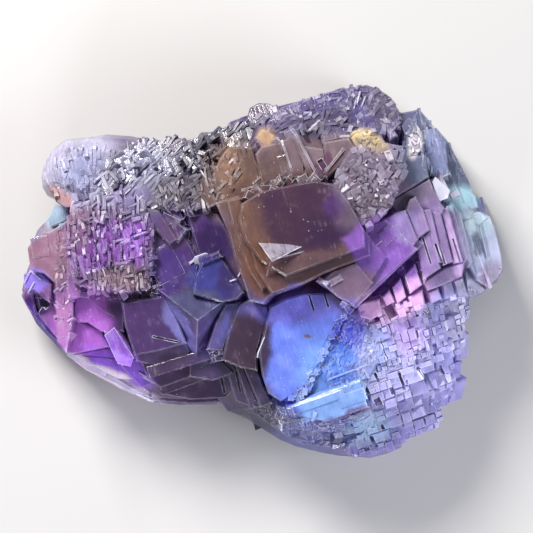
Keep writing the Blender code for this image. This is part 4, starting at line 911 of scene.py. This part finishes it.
class Tree:
    """Short ways to add and join nodes of a material."""

    def __init__(self, material):
        self.tree = material.node_tree

    def add(self, kind, **settings):
        node = self.tree.nodes.new(kind)
        for name, value in settings.items():
            setattr(node, name, value)
        return node

    def join(self, source, target):
        self.tree.links.new(source, target)

    def feed(self, sockets, values):
        """Gives each socket its value, which is a number, a colour or another socket."""
        for socket, value in zip(sockets, values):
            if isinstance(value, (int, float, tuple)):
                socket.default_value = value
            else:
                self.join(value, socket)

    def math(self, operation, *values):
        node = self.add("ShaderNodeMath", operation=operation)
        self.feed(node.inputs, values)
        return node.outputs[0]

    def mix(self, factor, first, second, blend="MIX"):
        """Mixes two colours. The sockets are the ones that its colour mode uses."""
        node = self.add("ShaderNodeMix", data_type="RGBA", blend_type=blend)
        self.feed((node.inputs[0], node.inputs[6], node.inputs[7]), (factor, first, second))
        return node.outputs[2]

    def noise(self, vector, scale, detail=3.0, roughness=0.55):
        node = self.add("ShaderNodeTexNoise")
        node.inputs["Scale"].default_value = scale
        node.inputs["Detail"].default_value = detail
        node.inputs["Roughness"].default_value = roughness
        self.join(vector, node.inputs["Vector"])
        return node

    def ramp(self, value, low, high, start=0.0, end=1.0):
        node = self.add("ShaderNodeMapRange", interpolation_type="SMOOTHSTEP", clamp=False)
        for name, number in (
            ("From Min", low), ("From Max", high), ("To Min", start), ("To Max", end),
        ):
            node.inputs[name].default_value = number
        self.join(value, node.inputs["Value"])
        return node.outputs["Result"]


def oval_mask(tree, place, middle, radii, turn, strength, softness):
    """A soft oval, from one measure of how near its middle a place is."""
    reach = 1.0 + softness
    node = tree.add("ShaderNodeTexGradient", gradient_type="SPHERICAL")
    mapping = node.texture_mapping
    mapping.vector_type = "TEXTURE"
    mapping.translation = (middle[0] * MM, middle[1] * MM, 0.0)
    mapping.rotation = (0, 0, math.radians(turn))
    mapping.scale = (radii[0] * MM * reach, radii[1] * MM * reach, 1.0)
    tree.join(place, node.inputs["Vector"])
    return tree.ramp(node.outputs["Fac"], 0.0, 2.0 * softness / reach, 0.0, strength)


def box_mask(tree, place, middle, radii, turn, strength, softness):
    """A soft box, for growth zones that follow the faces of a cube."""
    mapping = tree.add("ShaderNodeMapping", vector_type="TEXTURE")
    mapping.inputs["Location"].default_value = (middle[0] * MM, middle[1] * MM, 0.0)
    mapping.inputs["Rotation"].default_value = (0, 0, math.radians(turn))
    mapping.inputs["Scale"].default_value = (radii[0] * MM, radii[1] * MM, 1.0)
    tree.join(place, mapping.inputs["Vector"])
    sides = tree.add("ShaderNodeVectorMath", operation="ABSOLUTE")
    tree.join(mapping.outputs[0], sides.inputs[0])
    apart = tree.add("ShaderNodeSeparateXYZ")
    tree.join(sides.outputs[0], apart.inputs[0])
    distance = tree.math("MAXIMUM", apart.outputs["X"], apart.outputs["Y"])
    return tree.ramp(distance, 1.0 + softness, 1.0 - softness, 0.0, strength)


def zone_colour(tree, place, ground):
    """The colour zones in their order over the ground colour, with wavering borders."""
    drift = tree.noise(place, 180.0, 4.0)
    moved = tree.add("ShaderNodeVectorMath", operation="MULTIPLY_ADD")
    tree.join(drift.outputs["Color"], moved.inputs[0])
    moved.inputs[1].default_value = (0.0035, 0.0035, 0.0)
    tree.join(place, moved.inputs[2])
    flat = tree.add("ShaderNodeVectorMath", operation="MULTIPLY_ADD")
    tree.join(moved.outputs[0], flat.inputs[0])
    flat.inputs[1].default_value = (1.0, 1.0, 0.0)
    flat.inputs[2].default_value = (-0.00175, -0.00175, 0.0)
    colour = ground
    for _, x, y, reach_x, reach_y, turn, tint, strength, softness, *shape in ZONES:
        mask = box_mask if shape else oval_mask
        spread = ((x, y), (reach_x, reach_y), turn, strength, softness)
        colour = tree.mix(mask(tree, flat.outputs[0], *spread), colour, srgb(*tint))
    return colour


def edges(tree, inside, distance):
    """How near a point is to a convex edge, or to a crease between blocks, for the painted edge
    highlights and the painted crease shade.
    """
    node = tree.add("ShaderNodeAmbientOcclusion", samples=4, inside=inside, only_local=True)
    node.inputs["Distance"].default_value = distance
    return node.outputs["AO"]


def stretched(tree, place, turn, sizes):
    """Noise drawn out along a direction: its turn in degrees, and its grain sizes in metres."""
    mapping = tree.add("ShaderNodeMapping", vector_type="TEXTURE")
    mapping.inputs["Rotation"].default_value = (0, 0, math.radians(turn))
    mapping.inputs["Scale"].default_value = sizes
    tree.join(place, mapping.inputs["Vector"])
    return tree.noise(mapping.outputs[0], 1.0, 3.0, 0.6).outputs["Fac"]


def painted_glints(tree, place):
    """Painted glints: small bright flecks that stand in for sparkles of light on the faces, thicker
    in some places.
    """
    grain = tree.add("ShaderNodeTexVoronoi", feature="F1")
    grain.inputs["Scale"].default_value = 1500.0
    tree.join(place, grain.inputs["Vector"])
    fleck = tree.ramp(grain.outputs["Distance"], 0.20, 0.12, 0.0, 1.0)
    where = tree.noise(place, 300.0, 3.0, 0.6).outputs["Fac"]
    return tree.math("MULTIPLY", fleck, tree.ramp(where, 0.50, 0.68, 0.0, 0.7))


def fluorite(colours):
    """Zoned fluorite: clear crystal with soft colour zones, some of them painted glow, reflection or
    shade, painted highlights on its edges, painted shade in its creases, and fine etching.
    """
    material = bpy.data.materials.new("zoned_fluorite")
    material.use_nodes = True
    tree = Tree(material)
    shader = material.node_tree.nodes["Principled BSDF"]
    output = material.node_tree.nodes["Material Output"]
    place = tree.add("ShaderNodeTexCoord").outputs["Object"]

    colour = zone_colour(tree, place, tuple(colours.ground))
    tone = tree.add("ShaderNodeAttribute", attribute_name=TONE).outputs["Fac"]
    cloud = tree.noise(place, 420.0, 5.0, 0.6).outputs["Fac"]
    streak = stretched(tree, place, LATTICE_TURN, (0.0003, 0.0030, 0.0030))
    light = tree.ramp(tone, 0, 1, -0.3, 0.2)
    # The random tone of each block, cloud and streaks make the colour lighter or darker, and the
    # painted glints make it lighter.
    for part in (
        tree.ramp(cloud, 0.3, 0.7, -0.2, 0.1), tree.ramp(streak, 0.35, 0.7, -0.06, 0.08),
        tree.ramp(tone, 1, LIGHTEST, 0.0, 0.9), painted_glints(tree, place),
    ):
        light = tree.math("ADD", light, part)
    lighter = tree.math("MAXIMUM", light, 0.0)
    darker = tree.math("MAXIMUM", tree.math("MULTIPLY", light, -1.0), 0.0)
    colour = tree.mix(lighter, colour, VEIL_AND_GLINT)
    colour = tree.mix(darker, colour, SHADE)
    etched = tree.add("ShaderNodeAttribute", attribute_name=ETCH).outputs["Fac"]
    # Painted highlights on convex edges, broken into patches by noise, weaker on etched faces and
    # strongest on the dome; then painted shade in the creases between blocks, tinted violet and
    # lighter on the dome.
    edge_highlight_patches = tree.ramp(tree.noise(place, 700.0, 3.0, 0.6).outputs["Fac"], 0.38, 0.60, 0.22, 1.0)
    edge_highlight_patches = tree.math("MULTIPLY", edge_highlight_patches, tree.ramp(etched, 0, 1, 0.95, 0.42))
    highlit_dome = oval_mask(tree, place, HIGHLIT_DOME_MIDDLE, HIGHLIT_DOME_RADII, -12, 1.0, 0.3)
    edge_highlight_patches = tree.math("MAXIMUM", edge_highlight_patches, tree.math("MULTIPLY", highlit_dome, 0.95))
    painted_rim_light = tree.math("MULTIPLY", tree.ramp(edges(tree, True, EDGE_HIGHLIGHT_REACH), 0.92, 0.55), edge_highlight_patches)
    crease_shade = tree.ramp(edges(tree, False, CREASE_SHADE_REACH), 0.70, 0.25, 0.0, 0.85)
    crease_shade = tree.math("MULTIPLY", crease_shade, tree.ramp(highlit_dome, 0.0, 1.0, 1.0, 0.6))
    colour = tree.mix(crease_shade, colour, CREASE_SHADE, "MULTIPLY")
    colour = tree.mix(painted_rim_light, colour, EDGE_HIGHLIGHT)
    tree.join(colour, shader.inputs["Base Color"])

    satin = tree.math("MULTIPLY", etched, 0.20)
    polish = tree.ramp(cloud, 0.35, 0.70, 0.11, 0.27)
    tree.join(tree.math("ADD", polish, satin), shader.inputs["Roughness"])
    etch = tree.noise(place, 1900.0, 6.0, 0.72).outputs["Fac"]
    lines = tree.add("ShaderNodeBump")
    lines.inputs["Strength"].default_value = 0.4
    lines.inputs["Distance"].default_value = 0.00020
    tree.join(streak, lines.inputs["Height"])
    bump = tree.add("ShaderNodeBump")
    bump.inputs["Strength"].default_value = 0.35
    bump.inputs["Distance"].default_value = 0.00009
    tree.join(etch, bump.inputs["Height"])
    tree.join(lines.outputs[0], bump.inputs["Normal"])
    tree.join(bump.outputs[0], shader.inputs["Normal"])
    shader.inputs["IOR"].default_value = FLUORITE_IOR
    shader.inputs["Transmission Weight"].default_value = CLEARNESS

    volume = tree.add("ShaderNodeVolumeAbsorption")
    volume.inputs["Color"].default_value = colours.depth
    volume.inputs["Density"].default_value = ABSORPTION
    tree.join(volume.outputs[0], output.inputs["Volume"])
    return material


class FLUORITE_OT_stage(bpy.types.Operator):
    """Adds the pale floor, the soft lights and the camera"""

    bl_idname = "fluorite.stage"
    bl_label = "Studio"

    def execute(self, context):
        context.scene.view_settings.view_transform = "Standard"
        self.floor(context.scene.cluster_colours)
        self.world()
        self.light("key", (-0.16, 0.26, 0.30), 0.14, 5.1, (1.0, 0.98, 0.96))
        self.light("fill", (0.30, -0.10, 0.24), 0.20, 1.8, (0.86, 0.92, 1.0))
        self.light("low", (-0.10, -0.32, 0.12), 0.14, 1.4, (0.92, 0.9, 1.0))
        self.camera(context)
        return {"FINISHED"}

    def floor(self, colours):
        deselect_all()
        bpy.ops.mesh.primitive_plane_add(size=3.0, location=(0, 0, 0))
        floor = bpy.context.object
        floor.name = "floor"
        material = bpy.data.materials.new("floor_paint")
        material.use_nodes = True
        shader = material.node_tree.nodes["Principled BSDF"]
        shader.inputs["Base Color"].default_value = colours.floor
        shader.inputs["Roughness"].default_value = 0.7
        floor.data.materials.append(material)

    def world(self):
        world = bpy.data.worlds.new("studio")
        world.use_nodes = True
        background = world.node_tree.nodes["Background"]
        background.inputs["Color"].default_value = (0.86, 0.88, 0.92, 1.0)
        background.inputs["Strength"].default_value = 0.34
        bpy.context.scene.world = world

    def light(self, name, place, size, power, colour):
        deselect_all()
        aim = (Vector((0, 0, 0.015)) - Vector(place)).to_track_quat("-Z", "Y").to_euler()
        bpy.ops.object.light_add(type="AREA", location=place, rotation=aim)
        lamp = bpy.context.object
        lamp.name = name
        lamp.data.size = size
        lamp.data.energy = power
        lamp.data.color = colour

    def camera(self, context):
        """Straight over the cluster, because it lies on its back with its show side up."""
        deselect_all()
        view_width, lens, sensor = 87.4 * MM, 200.0, 36.0
        middle = Vector((0.74 * MM, 0.98 * MM, 14 * MM))
        place = middle + Vector((0, 0, view_width * lens / sensor))
        bpy.ops.object.camera_add(location=place, rotation=(0, 0, 0))
        camera = bpy.context.object
        camera.data.lens = lens
        camera.data.sensor_width = sensor
        context.scene.camera = camera


class FLUORITE_PT_panel(bpy.types.Panel):
    """Shows the sizes, the colours and the steps in the 3D view's sidebar"""

    bl_idname = "FLUORITE_PT_panel"
    bl_label = "Fluorite Cluster"
    bl_space_type = "VIEW_3D"
    bl_region_type = "UI"
    bl_category = "Fluorite"

    def draw(self, context):
        for group in (context.scene.cluster_sizes, context.scene.cluster_colours):
            for name in group.__annotations__:
                self.layout.prop(group, name)
        for operator in OPERATORS:
            self.layout.operator(operator.bl_idname)


OPERATORS = (
    FLUORITE_OT_mosaic,
    FLUORITE_OT_etched,
    FLUORITE_OT_rubble,
    FLUORITE_OT_splinters,
    FLUORITE_OT_facets,
    FLUORITE_OT_lump_ridges,
    FLUORITE_OT_growth_plates,
    FLUORITE_OT_slots,
    FLUORITE_OT_cluster,
    FLUORITE_OT_stage,
)
CLASSES = (ClusterSizes, ClusterColours, *OPERATORS, FLUORITE_PT_panel)


def register():
    for cls in CLASSES:
        bpy.utils.register_class(cls)
    bpy.types.Scene.cluster_sizes = bpy.props.PointerProperty(type=ClusterSizes)
    bpy.types.Scene.cluster_colours = bpy.props.PointerProperty(type=ClusterColours)


def unregister():
    del bpy.types.Scene.cluster_colours
    del bpy.types.Scene.cluster_sizes
    for cls in reversed(CLASSES):
        bpy.utils.unregister_class(cls)


def main():
    register()
    bpy.ops.fluorite.mosaic()
    bpy.ops.fluorite.etched()
    bpy.ops.fluorite.rubble()
    bpy.ops.fluorite.splinters()
    bpy.ops.fluorite.facets()
    bpy.ops.fluorite.lump_ridges()
    bpy.ops.fluorite.growth_plates()
    bpy.ops.fluorite.slots()
    bpy.ops.fluorite.cluster()
    bpy.ops.fluorite.stage()


if __name__ == "__main__":
    main()
